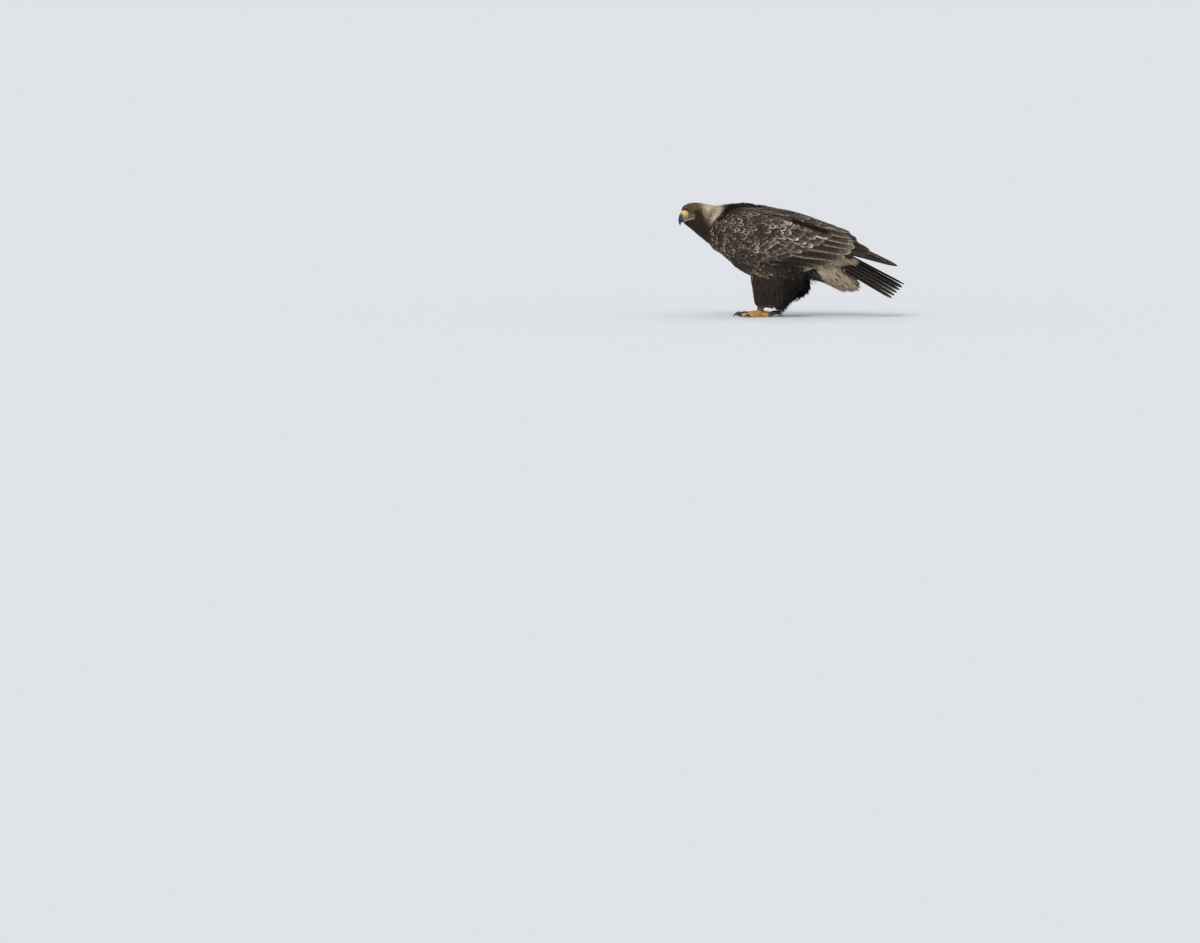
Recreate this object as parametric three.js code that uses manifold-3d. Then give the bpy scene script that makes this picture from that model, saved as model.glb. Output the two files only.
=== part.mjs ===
// A golden eagle, life size, standing with its body leant forward, wings folded and head low.
// Millimetres. +Z is up, the eagle faces -Y, its left side is +X, and its soles are at Z = 0.
// The bird is divided where a person would name its parts, with thin gaps between the solids.
import * as THREE from "three";
import { mergeVertices } from "three/addons/utils/BufferGeometryUtils.js";
import Module from "manifold-3d";

const wasm = await Module();
wasm.setup();

// Gap between solids that touch, and how far a cutter reaches past what it cuts.
const GAP = 0.3;
const PAST = 400;

// The body's outline without wings, nose to rump: its top, its underside, its half width and the
// height of its widest place at each distance Y along it, with the neck held straight.
const BODY_ROWS = [
  { y: -388, top: 352, low: 322, half: 10, wide: 338 },
  { y: -382, top: 361.5, low: 313, half: 17.5, wide: 342 },
  { y: -370, top: 369.5, low: 304, half: 25.5, wide: 345 },
  { y: -354, top: 374.5, low: 295, half: 31, wide: 344 },
  { y: -336, top: 377, low: 284, half: 35, wide: 338 },
  { y: -318, top: 377, low: 272, half: 37, wide: 331 },
  { y: -298, top: 375, low: 257.5, half: 41, wide: 322 },
  { y: -278, top: 370, low: 242, half: 47, wide: 312 },
  { y: -259, top: 366, low: 227, half: 56, wide: 302 },
  { y: -235, top: 367.5, low: 206, half: 67, wide: 290 },
  { y: -200, top: 373, low: 177, half: 80, wide: 275 },
  { y: -160, top: 373.5, low: 149, half: 90, wide: 264 },
  { y: -125, top: 368, low: 133, half: 92, wide: 260 },
  { y: -60, top: 354, low: 122, half: 91, wide: 257 },
  { y: 0, top: 344, low: 124, half: 86, wide: 253 },
  { y: 60, top: 326, low: 134, half: 75, wide: 245 },
  { y: 120, top: 304, low: 150, half: 61, wide: 235 },
  { y: 170, top: 285, low: 160, half: 50, wide: 226 },
  { y: 200, top: 256, low: 168, half: 44, wide: 214 },
  { y: 240, top: 217, low: 172, half: 37, wide: 199 },
  { y: 300, top: 199, low: 166, half: 29, wide: 184 },
  { y: 350, top: 171, low: 157, half: 24, wide: 165 },
];
const BODY_SQUARENESS = 2.15;

// The folded wing lies on the body: its upper and lower edge and its thickness along the body.
const WING_ROWS = [
  { y: -276, top: 286, low: 264, thick: 4 },
  { y: -272, top: 301, low: 243, thick: 8 },
  { y: -262, top: 316, low: 229, thick: 12 },
  { y: -246, top: 328, low: 218, thick: 14 },
  { y: -207, top: 348, low: 203, thick: 16 },
  { y: -155, top: 366, low: 187, thick: 15 },
  { y: -110, top: 369, low: 171, thick: 14 },
  { y: -60, top: 366, low: 165, thick: 13 },
  { y: 0, top: 356, low: 171, thick: 11 },
  { y: 60, top: 338, low: 163, thick: 10 },
  { y: 113, top: 318, low: 175, thick: 9 },
  { y: 160, top: 299, low: 185, thick: 8 },
  { y: 184, top: 281, low: 188, thick: 7 },
  { y: 206, top: 243, low: 188.5, thick: 6 },
  { y: 226, top: 219, low: 188, thick: 5.5 },
  { y: 266, top: 207, low: 186, thick: 5 },
  { y: 300, top: 197, low: 177, thick: 4.5 },
  { y: 332, top: 183, low: 169.5, thick: 3.5 },
  { y: 348.5, top: 169, low: 163, thick: 2 },
];
const WING_EDGE = 0.45;
const WING_SUNK = 4;
const WING_STEEPEST = 1.56;

// Where the thin cuts between head, neck and trunk run, and where the trunk ends.
const HEAD_BACK = -302;
const NECK_BACK = -222;
const TRUNK_BACK = 130;
const RUMP_BACK = 204;

// The neck turns the head towards the eagle's left between these two places.
const HEAD_TURN = THREE.MathUtils.degToRad(44);
const TURN_STARTS = -245;
const TURN_ENDS = -318;

// Bill: the upper edge (culmen) and the cutting edge from the gape to the hooked tip, as distances
// behind the bill's foremost place and heights.
const BILL_FRONT = -406;
const CULMEN = [
  [42.5, 351],
  [28.5, 353.5],
  [18.5, 350],
  [8.5, 342],
  [2, 331],
  [0, 319],
  [2.5, 309],
  [7, 302.5],
].map(([behind, z]) => [BILL_FRONT + behind, z]);
const CUTTING_EDGE = [
  [50.5, 328],
  [37.5, 325],
  [26.5, 321],
  [18.5, 318.5],
  [13.5, 317],
  [10, 312.5],
  [8.5, 307.5],
  [7.8, 302.3],
].map(([behind, z]) => [BILL_FRONT + behind, z]);
const BILL_HALF_WIDTHS = [14.5, 13.5, 11.5, 9, 6.5, 4.6, 2.8, 0.7];
const LOWER_BILL_FRONT = BILL_FRONT + 13.5;
const LOWER_BILL_DEPTH = 11;
const LOWER_BILL_HALF = 9.5;
const LOWER_BILL_NARROWS = 0.72;
const LOWER_BILL_THINS = 0.62;
const BILL_AROUND = 10;
const BILL_SIDE_SQUARENESS = 2.2;
const BILL_EDGE_SQUARENESS = 2.5;

// Eyes.
const EYE_RADIUS = 9.2;
const EYE_AROUND = 10;
const EYE_HIGH = 7;
const EYE_AT = { x: 25, y: BILL_FRONT + 52, z: 347.5 };

// Undertail coverts: a soft wedge that hangs under the root of the tail.
const VENT_ROWS = [
  { y: 44, top: 190, low: 118, half: 42 },
  { y: 74, top: 188, low: 119, half: 46 },
  { y: 105, top: 184, low: 110, half: 47 },
  { y: 135, top: 180, low: 95, half: 45 },
  { y: 160, top: 174, low: 84, half: 41 },
  { y: 190, top: 163, low: 86, half: 35 },
  { y: 212, top: 147, low: 93, half: 27 },
  { y: 223, top: 133, low: 106, half: 16 },
];
const VENT_SQUARENESS = 2.25;
const VENT_AROUND = 16;
const VENT_RINGS = 7;

// Tail: twelve long feathers that lie like a roof, the middle pair on top, sloping down behind.
const TAIL_FEATHERS = 12;
const TAIL_ROOT = { y: 112, z: 247.5 };
const TAIL_SLOPE = THREE.MathUtils.degToRad(27.5);
const TAIL_LENGTH = 296;
const TAIL_BLOCK_LENGTH = 124;
const TAIL_BLOCK_DEPTH = 8;
const TAIL_SPLAY = THREE.MathUtils.degToRad(5.2);
const TAIL_ROOT_HALF = 22;
const TAIL_ROOT_FALL = 52;
const TAIL_END_FALL = 68;
const TAIL_FEATHER_HALF = 9;
const TAIL_FEATHER_LEAN = 0.5;
const TAIL_FEATHER_THICK = 2.4;
const TAIL_FEATHER_TIP = 12;
const TAIL_FEATHER_OVERLAP = 6;
const TAIL_QUILLS_WITHIN = 0.92;
const TAIL_STEP_SHORTER = 3.5;

// Legs. Trousers are rings round the thigh and shank: front and back as [y, z], then inner and outer x.
const LEG_X = 47;
const LEFT_TROUSERS = [
  { front: [-126, 200], back: [36, 214], inner: 34, outer: 78 },
  { front: [-138, 152], back: [50, 162], inner: 17, outer: 85 },
  { front: [-137, 124], back: [42, 128], inner: 15, outer: 87 },
  { front: [-132, 93], back: [17, 92], inner: 20, outer: 82 },
  { front: [-128, 64], back: [-8, 64], inner: 27, outer: 73 },
  { front: [-126, 47], back: [-24, 38], inner: 33, outer: 66 },
  { front: [-122, 38], back: [-44, 23], inner: 39, outer: 57 },
];
const RIGHT_TROUSERS = [
  { front: [-126, 200], back: [44, 214], inner: 34, outer: 78 },
  { front: [-138, 152], back: [62, 160], inner: 17, outer: 85 },
  { front: [-136, 124], back: [64, 120], inner: 15, outer: 87 },
  { front: [-131, 94], back: [52, 86], inner: 20, outer: 80 },
  { front: [-127, 66], back: [22, 64], inner: 27, outer: 72 },
  { front: [-125, 49], back: [-14, 47], inner: 33, outer: 65 },
  { front: [-121, 40], back: [-38, 33], inner: 39, outer: 57 },
];
const TROUSER_SQUARENESS = 2.2;
const TROUSER_RINGS = 8;
const HOCK = { y: -60, z: 88 };
const ANKLE = { y: -109, z: 21 };
const TARSUS_TOP_RADIUS = 13;
const TARSUS_FOOT_RADIUS = 10.5;
const FAR_FOOT_STEP = 6;

// Toes: way out from the foot (degrees from straight ahead, outwards positive), length without the
// claw, radius at the root and at the end, and the claw's length over the floor and root radius.
const TOES = [
  { name: "inner", turn: -24, length: 43, root: 9, end: 7, claw: 30, clawRadius: 5 },
  { name: "middle", turn: 2, length: 58, root: 9, end: 6.4, claw: 24, clawRadius: 4.3 },
  { name: "outer", turn: 46, length: 45, root: 8.4, end: 6, claw: 20, clawRadius: 3.7 },
  { name: "hind", turn: 186, length: 33, root: 9, end: 7.2, claw: 37, clawRadius: 5.6 },
];
const TOE_PADS = 2.5;
const PAD_SWELL = 0.1;
const TOE_END = 2;
const TOE_END_NARROWS = 0.8;
const SOLE_TRIM = 0.7;
const PALM_RADIUS = 13;
const PALM_LONG = 1.1;
const PALM_HIGH = 0.85;
const CLAW_RISE = THREE.MathUtils.degToRad(28);
const CLAW_END_DIVE = THREE.MathUtils.degToRad(-77);
const CLAW_TIP_RADIUS = 0.9;
const CLAW_TAPER = 0.75;
const CLAW_HOOK = 2.2;

// How finely rings and lengths are divided.
const BODY_AROUND = 22;
const WING_AROUND = 6;
const LEG_AROUND = 16;
const TOE_AROUND = 6;
const TOE_LENGTHS = 6;
const CLAW_AROUND = 6;
const CLAW_LENGTHS = 5;

const COLOURS = {
  dark: 0x3a2f28,
  breast: 0x413530,
  crown: 0x8a6f4c,
  wing: 0x4a3d34,
  vent: 0x8b7355,
  trousers: 0x2e2622,
  tail: 0x2b2624,
  tarsus: 0x5a4634,
  foot: 0xc08a3a,
  claw: 0x16161a,
  bill: 0x454d56,
  eye: 0x5a3413,
};

// A smooth curve through rows of numbers that doesn't overshoot between them.
function curveThrough(places, values) {
  const last = places.length - 1;
  const slopes = [];
  for (let i = 0; i < last; i++) {
    slopes.push((values[i + 1] - values[i]) / (places[i + 1] - places[i]));
  }
  const tangents = [slopes[0]];
  for (let i = 1; i < last; i++) {
    const before = slopes[i - 1];
    const after = slopes[i];
    tangents.push(before * after <= 0 ? 0 : (2 * before * after) / (before + after));
  }
  tangents.push(slopes[last - 1]);
  return (place) => {
    let i = 0;
    while (i < last - 1 && place > places[i + 1]) i++;
    const span = places[i + 1] - places[i];
    const t = THREE.MathUtils.clamp((place - places[i]) / span, 0, 1);
    const rise = values[i + 1] - values[i];
    const a = tangents[i] * span;
    const b = tangents[i + 1] * span;
    return values[i] + t * (a + t * (3 * rise - 2 * a - b + t * (a + b - 2 * rise)));
  };
}

// One smooth curve for each named column of the rows.
function curvesOf(rows, names) {
  const places = rows.map((row) => row.y);
  const curves = {};
  for (const name of names) {
    curves[name] = curveThrough(places, rows.map((row) => row[name]));
  }
  return curves;
}

const body = curvesOf(BODY_ROWS, ["top", "low", "half", "wide"]);
const wing = curvesOf(WING_ROWS, ["top", "low", "thick"]);
const vent = curvesOf(VENT_ROWS, ["top", "low", "half"]);

// The triangles that fill a ring, each turning the way the ring does.
function capOf(ring) {
  const normal = new THREE.Vector3();
  ring.forEach((point, i) => {
    const next = ring[(i + 1) % ring.length];
    normal.add(point.clone().cross(next));
  });
  normal.normalize();
  const across = ring[1].clone().sub(ring[0]).projectOnPlane(normal).normalize();
  const up = normal.clone().cross(across);
  const flat = ring.map((point) => new THREE.Vector2(point.dot(across), point.dot(up)));
  return THREE.ShapeUtils.triangulateShape(flat, []).map(([i, j, k]) => {
    const turn = flat[j].clone().sub(flat[i]).cross(flat[k].clone().sub(flat[i]));
    return turn > 0 ? [i, j, k] : [i, k, j];
  });
}

// A solid between rings of equally many points, closed at both ends.
function loft(rings) {
  const around = rings[0].length;
  const points = rings.flat();
  const faces = [];
  for (let ring = 0; ring + 1 < rings.length; ring++) {
    for (let i = 0; i < around; i++) {
      const next = (i + 1) % around;
      const a = ring * around + i;
      const b = ring * around + next;
      faces.push(a, b, b + around, a, b + around, a + around);
    }
  }
  const lastStart = (rings.length - 1) * around;
  for (const [i, j, k] of capOf(rings[0])) faces.push(i, k, j);
  for (const [i, j, k] of capOf(rings[rings.length - 1])) {
    faces.push(lastStart + i, lastStart + j, lastStart + k);
  }
  const geometry = new THREE.BufferGeometry().setFromPoints(points);
  geometry.setIndex(faces);
  return outward(geometry);
}

// The same geometry with its faces pointing out.
function outward(geometry) {
  const at = geometry.attributes.position;
  const order = geometry.index.array;
  const [a, b, c] = [new THREE.Vector3(), new THREE.Vector3(), new THREE.Vector3()];
  let volume = 0;
  for (let i = 0; i < order.length; i += 3) {
    a.fromBufferAttribute(at, order[i]);
    b.fromBufferAttribute(at, order[i + 1]);
    c.fromBufferAttribute(at, order[i + 2]);
    volume += a.dot(b.cross(c));
  }
  if (volume < 0) {
    for (let i = 0; i < order.length; i += 3) {
      [order[i + 1], order[i + 2]] = [order[i + 2], order[i + 1]];
    }
  }
  return geometry;
}

// A geometry as a solid that can be joined and cut.
function solidOf(geometry) {
  const bare = geometry.clone();
  bare.deleteAttribute("normal");
  bare.deleteAttribute("uv");
  const merged = mergeVertices(bare, 1e-4);
  return new wasm.Manifold(
    new wasm.Mesh({
      numProp: 3,
      vertProperties: merged.attributes.position.array,
      triVerts: new Uint32Array(merged.index.array),
    }),
  );
}

// The largest single body of a solid, as a geometry. Crumbs that a cut leaves are dropped.
function geometryOf(solid) {
  const bodies = solid.decompose();
  const largest = bodies.reduce((a, b) => (a.volume() > b.volume() ? a : b));
  const mesh = largest.getMesh();
  const geometry = new THREE.BufferGeometry();
  geometry.setAttribute("position", new THREE.BufferAttribute(mesh.vertProperties, 3));
  geometry.setIndex(new THREE.BufferAttribute(mesh.triVerts, 1));
  return geometry;
}

// A point with the neck held straight, carried to where the turned neck puts it.
const TURN_STEPS = 24;
function turned(point) {
  if (point.y >= TURN_STARTS) return point;
  const span = TURN_STARTS - TURN_ENDS;
  const angleAt = (y) => HEAD_TURN * THREE.MathUtils.smoothstep(TURN_STARTS - y, 0, span);
  const middle = new THREE.Vector2(0, TURN_STARTS);
  const step = (TURN_STARTS - point.y) / TURN_STEPS;
  for (let i = 0; i < TURN_STEPS; i++) {
    const angle = angleAt(TURN_STARTS - (i + 0.5) * step);
    middle.x += step * Math.sin(angle);
    middle.y -= step * Math.cos(angle);
  }
  const angle = angleAt(point.y);
  return new THREE.Vector3(
    middle.x + point.x * Math.cos(angle),
    middle.y + point.x * Math.sin(angle),
    point.z,
  );
}

// A geometry with all its points carried round the turned neck.
function withTurnedNeck(geometry) {
  const at = geometry.attributes.position;
  const point = new THREE.Vector3();
  for (let i = 0; i < at.count; i++) {
    const moved = turned(point.fromBufferAttribute(at, i));
    at.setXYZ(i, moved.x, moved.y, moved.z);
  }
  return geometry;
}

// A rounded-square arc: cosine and sine with the corners pushed out.
function squared(value, squareness) {
  return Math.sign(value) * Math.abs(value) ** (2 / squareness);
}

// The body's surface at a distance along it and an angle up from its side, pushed out by some depth.
function bodyPoint(y, angle, out) {
  const across = squared(Math.cos(angle), BODY_SQUARENESS);
  const up = squared(Math.sin(angle), BODY_SQUARENESS);
  const height = up > 0 ? body.top(y) - body.wide(y) : body.wide(y) - body.low(y);
  return new THREE.Vector3((body.half(y) + out) * across, y, body.wide(y) + (height + out) * up);
}

function bodyRing(y, out) {
  const ring = [];
  for (let i = 0; i < BODY_AROUND; i++) {
    ring.push(bodyPoint(y, ((i + 0.5) / BODY_AROUND) * 2 * Math.PI, out));
  }
  return ring;
}

// Places from start to end, both included, in equal steps.
function steps(start, end, count) {
  return Array.from({ length: count + 1 }, (_, i) => start + ((end - start) * i) / count);
}

function bodyLoft(start, end, count, out) {
  return loft(steps(start - out, end + out, count).map((y) => bodyRing(y, out)));
}

// Neck, trunk and rump follow one surface. Each can be grown by some depth, to cut its neighbours.
function neckLoft(out = 0) {
  return withTurnedNeck(bodyLoft(HEAD_BACK + GAP, NECK_BACK, 5, out));
}

function trunkLoft(out = 0) {
  return bodyLoft(NECK_BACK + GAP, TRUNK_BACK, 13, out);
}

function rumpLoft(out = 0) {
  return bodyLoft(TRUNK_BACK + GAP, RUMP_BACK, 4, out);
}

// The angle on the body's section at which a height lies.
function angleOfHeight(y, z) {
  const above = z > body.wide(y);
  const height = above ? body.top(y) - body.wide(y) : body.wide(y) - body.low(y);
  const share = THREE.MathUtils.clamp((z - body.wide(y)) / height, -1, 1);
  const angle = Math.asin(squared(share, 4 / BODY_SQUARENESS));
  return THREE.MathUtils.clamp(angle, -WING_STEEPEST, WING_STEEPEST);
}

// The folded wing before the body is cut from it: a plate over the body's side, thinner towards its
// edges and its tip.
function wingLoft(side, out = 0) {
  const rings = [];
  for (const y of wingStations()) {
    const high = angleOfHeight(y, wing.top(y) - wing.thick(y) * WING_EDGE + out);
    const low = angleOfHeight(y, wing.low(y) - out);
    const outer = [];
    const inner = [];
    for (let i = 0; i <= WING_AROUND; i++) {
      const share = i / WING_AROUND;
      const angle = high + (low - high) * share;
      const full = WING_EDGE + (1 - WING_EDGE) * Math.sin(Math.PI * share);
      outer.push(bodyPoint(y, angle, GAP + out + wing.thick(y) * full));
      inner.unshift(bodyPoint(y, angle, y > RUMP_BACK ? GAP - out : -WING_SUNK));
    }
    rings.push([...outer, ...inner].map((p) => p.setX(side * Math.max(p.x, GAP - out))));
  }
  return loft(rings);
}

function foldedWing(side) {
  let whole = solidOf(wingLoft(side));
  for (const cutter of [neckLoft(GAP), trunkLoft(GAP), rumpLoft(GAP)]) {
    whole = whole.subtract(solidOf(cutter));
  }
  return geometryOf(whole);
}

// Stations along the wing, closer together where its outline turns.
function wingStations() {
  return [
    ...steps(-276, -246, 3),
    ...steps(-228, 132, 8),
    ...steps(156, 228, 5),
    ...steps(256, 348.5, 3),
  ];
}

function head() {
  const stations = [0, 0.04, 0.1, 0.19, 0.28, 0.38, 0.5, 0.64, 0.8, 1];
  const front = BODY_ROWS[0].y;
  const rings = stations.map((share) => bodyRing(front + (HEAD_BACK - front) * share, 0));
  const whole = solidOf(loft(rings));
  let cut = whole.subtract(solidOf(upperBillLoft(GAP))).subtract(solidOf(lowerBillLoft(GAP)));
  for (const side of [-1, 1]) cut = cut.subtract(solidOf(eyeball(side, EYE_RADIUS + GAP)));
  return withTurnedNeck(geometryOf(cut));
}

function trunk() {
  return geometryOf(solidOf(trunkLoft()).subtract(solidOf(tailBlock(GAP))));
}

// The rump: it fills the space between the wings and holds the root of the tail.
function rump() {
  return geometryOf(solidOf(rumpLoft()).subtract(solidOf(tailBlock(GAP))));
}

// A point of an upright outline, given as [y, z], at a distance to one side.
function atSide([y, z], x) {
  return new THREE.Vector3(x, y, z);
}

// A ring of the bill between a point on its lower edge and one on its upper edge, as [y, z].
function billRing(lower, upper, half) {
  const ring = [];
  for (let i = 0; i < BILL_AROUND; i++) {
    const angle = ((i + 0.5) / BILL_AROUND) * 2 * Math.PI;
    const across = half * squared(Math.cos(angle), BILL_SIDE_SQUARENESS);
    const up = 0.5 + 0.5 * squared(Math.sin(angle), BILL_EDGE_SQUARENESS);
    const y = lower[0] + (upper[0] - lower[0]) * up;
    const z = lower[1] + (upper[1] - lower[1]) * up;
    ring.push(new THREE.Vector3(across, y, z));
  }
  return ring;
}

// The upper half of the bill: ridge above, cutting edge below, hooked down at the tip.
function upperBillLoft(out = 0) {
  const rings = CULMEN.map((ridge, i) => {
    const back = i === 0 ? out : 0;
    const lower = [CUTTING_EDGE[i][0] + back, CUTTING_EDGE[i][1] - out];
    const upper = [ridge[0] + back, ridge[1] + out];
    return billRing(lower, upper, BILL_HALF_WIDTHS[i] + out);
  });
  return loft(rings);
}

// The lower half of the bill, just under the upper one's cutting edge.
function lowerBillLoft(out = 0) {
  const straight = CUTTING_EDGE.slice(0, 5);
  const edgeHeight = curveThrough(straight.map(([y]) => -y), straight.map(([, z]) => z));
  const rings = steps(0, 1, 6).map((share) => {
    const start = CUTTING_EDGE[0][0] + out;
    const y = start + (LOWER_BILL_FRONT - start) * share;
    const half = LOWER_BILL_HALF * (1 - LOWER_BILL_NARROWS * share ** 2);
    const depth = LOWER_BILL_DEPTH * (1 - LOWER_BILL_THINS * share ** 2);
    const top = edgeHeight(-y) - GAP;
    return billRing([y, top - depth - out], [y, top + out], half + out);
  });
  return loft(rings);
}

function upperBill() {
  return withTurnedNeck(upperBillLoft());
}

function lowerBill() {
  const whole = solidOf(lowerBillLoft());
  return withTurnedNeck(geometryOf(whole.subtract(solidOf(upperBillLoft(GAP)))));
}

function eyeball(side, radius) {
  const ball = new THREE.SphereGeometry(radius, EYE_AROUND, EYE_HIGH);
  return ball.translate(side * EYE_AT.x, EYE_AT.y, EYE_AT.z);
}

function eye(side) {
  return withTurnedNeck(eyeball(side, EYE_RADIUS));
}

// An upright ring of the undertail coverts.
function ventRing(y, out) {
  const ring = [];
  const middle = (vent.top(y) + vent.low(y)) / 2;
  const deep = (vent.top(y) - vent.low(y)) / 2 + out;
  for (let i = 0; i < VENT_AROUND; i++) {
    const angle = ((i + 0.5) / VENT_AROUND) * 2 * Math.PI;
    const x = (vent.half(y) + out) * squared(Math.cos(angle), VENT_SQUARENESS);
    ring.push(new THREE.Vector3(x, y, middle + deep * squared(Math.sin(angle), VENT_SQUARENESS)));
  }
  return ring;
}

function ventLoft(out = 0) {
  const first = VENT_ROWS[0].y;
  const last = VENT_ROWS[VENT_ROWS.length - 1].y;
  return loft(steps(first, last, VENT_RINGS).map((y) => ventRing(y, out)));
}

function undertail() {
  let whole = solidOf(ventLoft());
  for (const cutter of [trunkLoft(GAP), rumpLoft(GAP), tailBlock(GAP)]) {
    whole = whole.subtract(solidOf(cutter));
  }
  for (let i = 0; i < TAIL_FEATHERS; i++) whole = whole.subtract(solidOf(tailFeather(i, GAP)));
  for (const side of [-1, 1]) whole = whole.subtract(solidOf(wingLoft(side, GAP)));
  return geometryOf(whole);
}

// A point on the tail, by length from its root, distance to the side and height over its ridge.
function tailPoint(length, across, up) {
  return new THREE.Vector3(
    across,
    TAIL_ROOT.y + length * Math.cos(TAIL_SLOPE) + up * Math.sin(TAIL_SLOPE),
    TAIL_ROOT.z - length * Math.sin(TAIL_SLOPE) + up * Math.cos(TAIL_SLOPE),
  );
}

// Half the tail's width between its outermost quills, and how far the roof has fallen there.
function tailHalf(length) {
  return TAIL_ROOT_HALF + length * Math.tan(TAIL_SPLAY);
}

function tailFall(across, length) {
  const whole = TAIL_ROOT_FALL + ((TAIL_END_FALL - TAIL_ROOT_FALL) * length) / TAIL_LENGTH;
  return (whole * Math.abs(across)) / tailHalf(length);
}

// A roof over the tail from one length to another, some depth thick.
function tailRoof(start, end, depth, out) {
  const rings = [];
  for (const length of steps(start - out, end + out, 4)) {
    const half = tailHalf(length) + out;
    const upper = [];
    const lower = [];
    for (const share of [-1, 0, 1]) {
      const fall = tailFall(share * half, length);
      upper.push(tailPoint(length, share * half, out * 3 - fall));
      lower.unshift(tailPoint(length, share * half, -depth - out * 3 - fall));
    }
    rings.push([...upper, ...lower]);
  }
  return loft(rings);
}

// The root of the tail with its coverts: a solid roof that the feathers leave behind.
function tailBlock(out = 0) {
  return tailRoof(0, TAIL_BLOCK_LENGTH, TAIL_BLOCK_DEPTH, out);
}

// One tail feather: a thin blade with a rounded end, leaning outwards like a slate on a roof.
function tailFeather(index, out = 0) {
  const order = index - (TAIL_FEATHERS - 1) / 2;
  const share = order / (TAIL_FEATHERS / 2 - 0.5);
  const length = TAIL_LENGTH - TAIL_STEP_SHORTER * (Math.abs(order) - 0.5);
  const root = TAIL_BLOCK_LENGTH - TAIL_FEATHER_OVERLAP - out;
  const tipShares = [1, 0.2];
  const places = [root, ...tipShares.map((tip) => length - TAIL_FEATHER_TIP * tip), length];
  const widths = [1, 1, 0.5, 0.25];
  const rings = places.map((at, i) => {
    const half = TAIL_FEATHER_HALF * widths[i] + out;
    const thick = TAIL_FEATHER_THICK + 4 * out;
    const middle = tailHalf(at) * share * TAIL_QUILLS_WITHIN;
    const fall = tailFall(middle, at) + TAIL_FEATHER_THICK;
    const lean = -Math.sign(share) * TAIL_FEATHER_LEAN * half;
    return [[-1, 0], [0, 0.5], [1, 0], [0, -0.5]].map(([across, up]) =>
      tailPoint(at, middle + across * half, up * thick - fall + across * lean),
    );
  });
  return loft(rings);
}

function tail() {
  let whole = solidOf(tailBlock());
  for (let i = 0; i < TAIL_FEATHERS; i++) whole = whole.add(solidOf(tailFeather(i)));
  return geometryOf(whole);
}

// The trousers: soft feathers round the thigh and shank, ring by ring downwards.
function trousersLoft(rows, side, out = 0) {
  const names = ["frontY", "frontZ", "backY", "backZ", "inner", "outer"];
  const flat = rows.map((row, i) => ({
    y: i,
    frontY: row.front[0],
    frontZ: row.front[1],
    backY: row.back[0],
    backZ: row.back[1],
    inner: row.inner,
    outer: row.outer,
  }));
  const curves = curvesOf(flat, names);
  const rings = steps(0, rows.length - 1, TROUSER_RINGS).map((place) => {
    const ring = [];
    for (let i = 0; i < LEG_AROUND; i++) {
      const angle = (i / LEG_AROUND) * 2 * Math.PI;
      const across = squared(Math.cos(angle), TROUSER_SQUARENESS);
      const along = squared(Math.sin(angle), TROUSER_SQUARENESS);
      const middleX = (curves.outer(place) + curves.inner(place)) / 2;
      const halfX = (curves.outer(place) - curves.inner(place)) / 2 + out;
      const middleY = (curves.frontY(place) + curves.backY(place)) / 2;
      const halfY = (curves.backY(place) - curves.frontY(place)) / 2 + out;
      const middleZ = (curves.frontZ(place) + curves.backZ(place)) / 2;
      const halfZ = (curves.backZ(place) - curves.frontZ(place)) / 2;
      const x = side * (middleX + halfX * across);
      ring.push(new THREE.Vector3(x, middleY + halfY * along, middleZ + halfZ * along));
    }
    return ring;
  });
  if (out > 0) rings[rings.length - 1].forEach((point) => (point.z -= out));
  return loft(rings);
}

function trousers(side) {
  const rows = side > 0 ? LEFT_TROUSERS : RIGHT_TROUSERS;
  let whole = solidOf(trousersLoft(rows, side));
  for (const cutter of [trunkLoft(GAP), wingLoft(side, GAP), ventLoft(GAP)]) {
    whole = whole.subtract(solidOf(cutter));
  }
  return geometryOf(whole);
}

// A ring of a round rod at a point, square to the way it runs.
function rodRing(centre, way, radius, around) {
  const side = new THREE.Vector3(0, 0, 1).cross(way).normalize();
  const up = way.clone().cross(side).normalize();
  const ring = [];
  for (let i = 0; i < around; i++) {
    const angle = (i / around) * 2 * Math.PI;
    ring.push(
      centre
        .clone()
        .addScaledVector(side, radius * Math.cos(angle))
        .addScaledVector(up, radius * Math.sin(angle)),
    );
  }
  return ring;
}

// How far this foot stands ahead of the other one.
function footStep(side) {
  return side > 0 ? 0 : FAR_FOOT_STEP;
}

function tarsus(side) {
  const hock = new THREE.Vector3(side * LEG_X, HOCK.y, HOCK.z);
  const ankle = new THREE.Vector3(side * LEG_X, ANKLE.y + footStep(side), ANKLE.z);
  const way = ankle.clone().sub(hock).normalize();
  const rings = steps(0, 1, 4).map((share) => {
    const radius = TARSUS_TOP_RADIUS + (TARSUS_FOOT_RADIUS - TARSUS_TOP_RADIUS) * share;
    return rodRing(hock.clone().lerp(ankle, share), way, radius, 12);
  });
  const rows = side > 0 ? LEFT_TROUSERS : RIGHT_TROUSERS;
  const whole = solidOf(loft(rings)).subtract(solidOf(trousersLoft(rows, side, GAP)));
  return geometryOf(whole.subtract(solidOf(footLoft(side, GAP))));
}

// The middle line of a toe from the foot to the claw, and its radius, by share of its length.
function toeAt(side, toe, share) {
  const turn = THREE.MathUtils.degToRad(toe.turn) * side;
  const way = new THREE.Vector3(Math.sin(turn), -Math.cos(turn), 0);
  const swell = 1 + PAD_SWELL * Math.cos(share * TOE_PADS * 2 * Math.PI);
  const radius = (toe.root + (toe.end - toe.root) * share) * swell;
  const centre = new THREE.Vector3(side * LEG_X, ANKLE.y + footStep(side), radius - SOLE_TRIM);
  return { centre: centre.addScaledVector(way, toe.length * share), way, radius };
}

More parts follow.
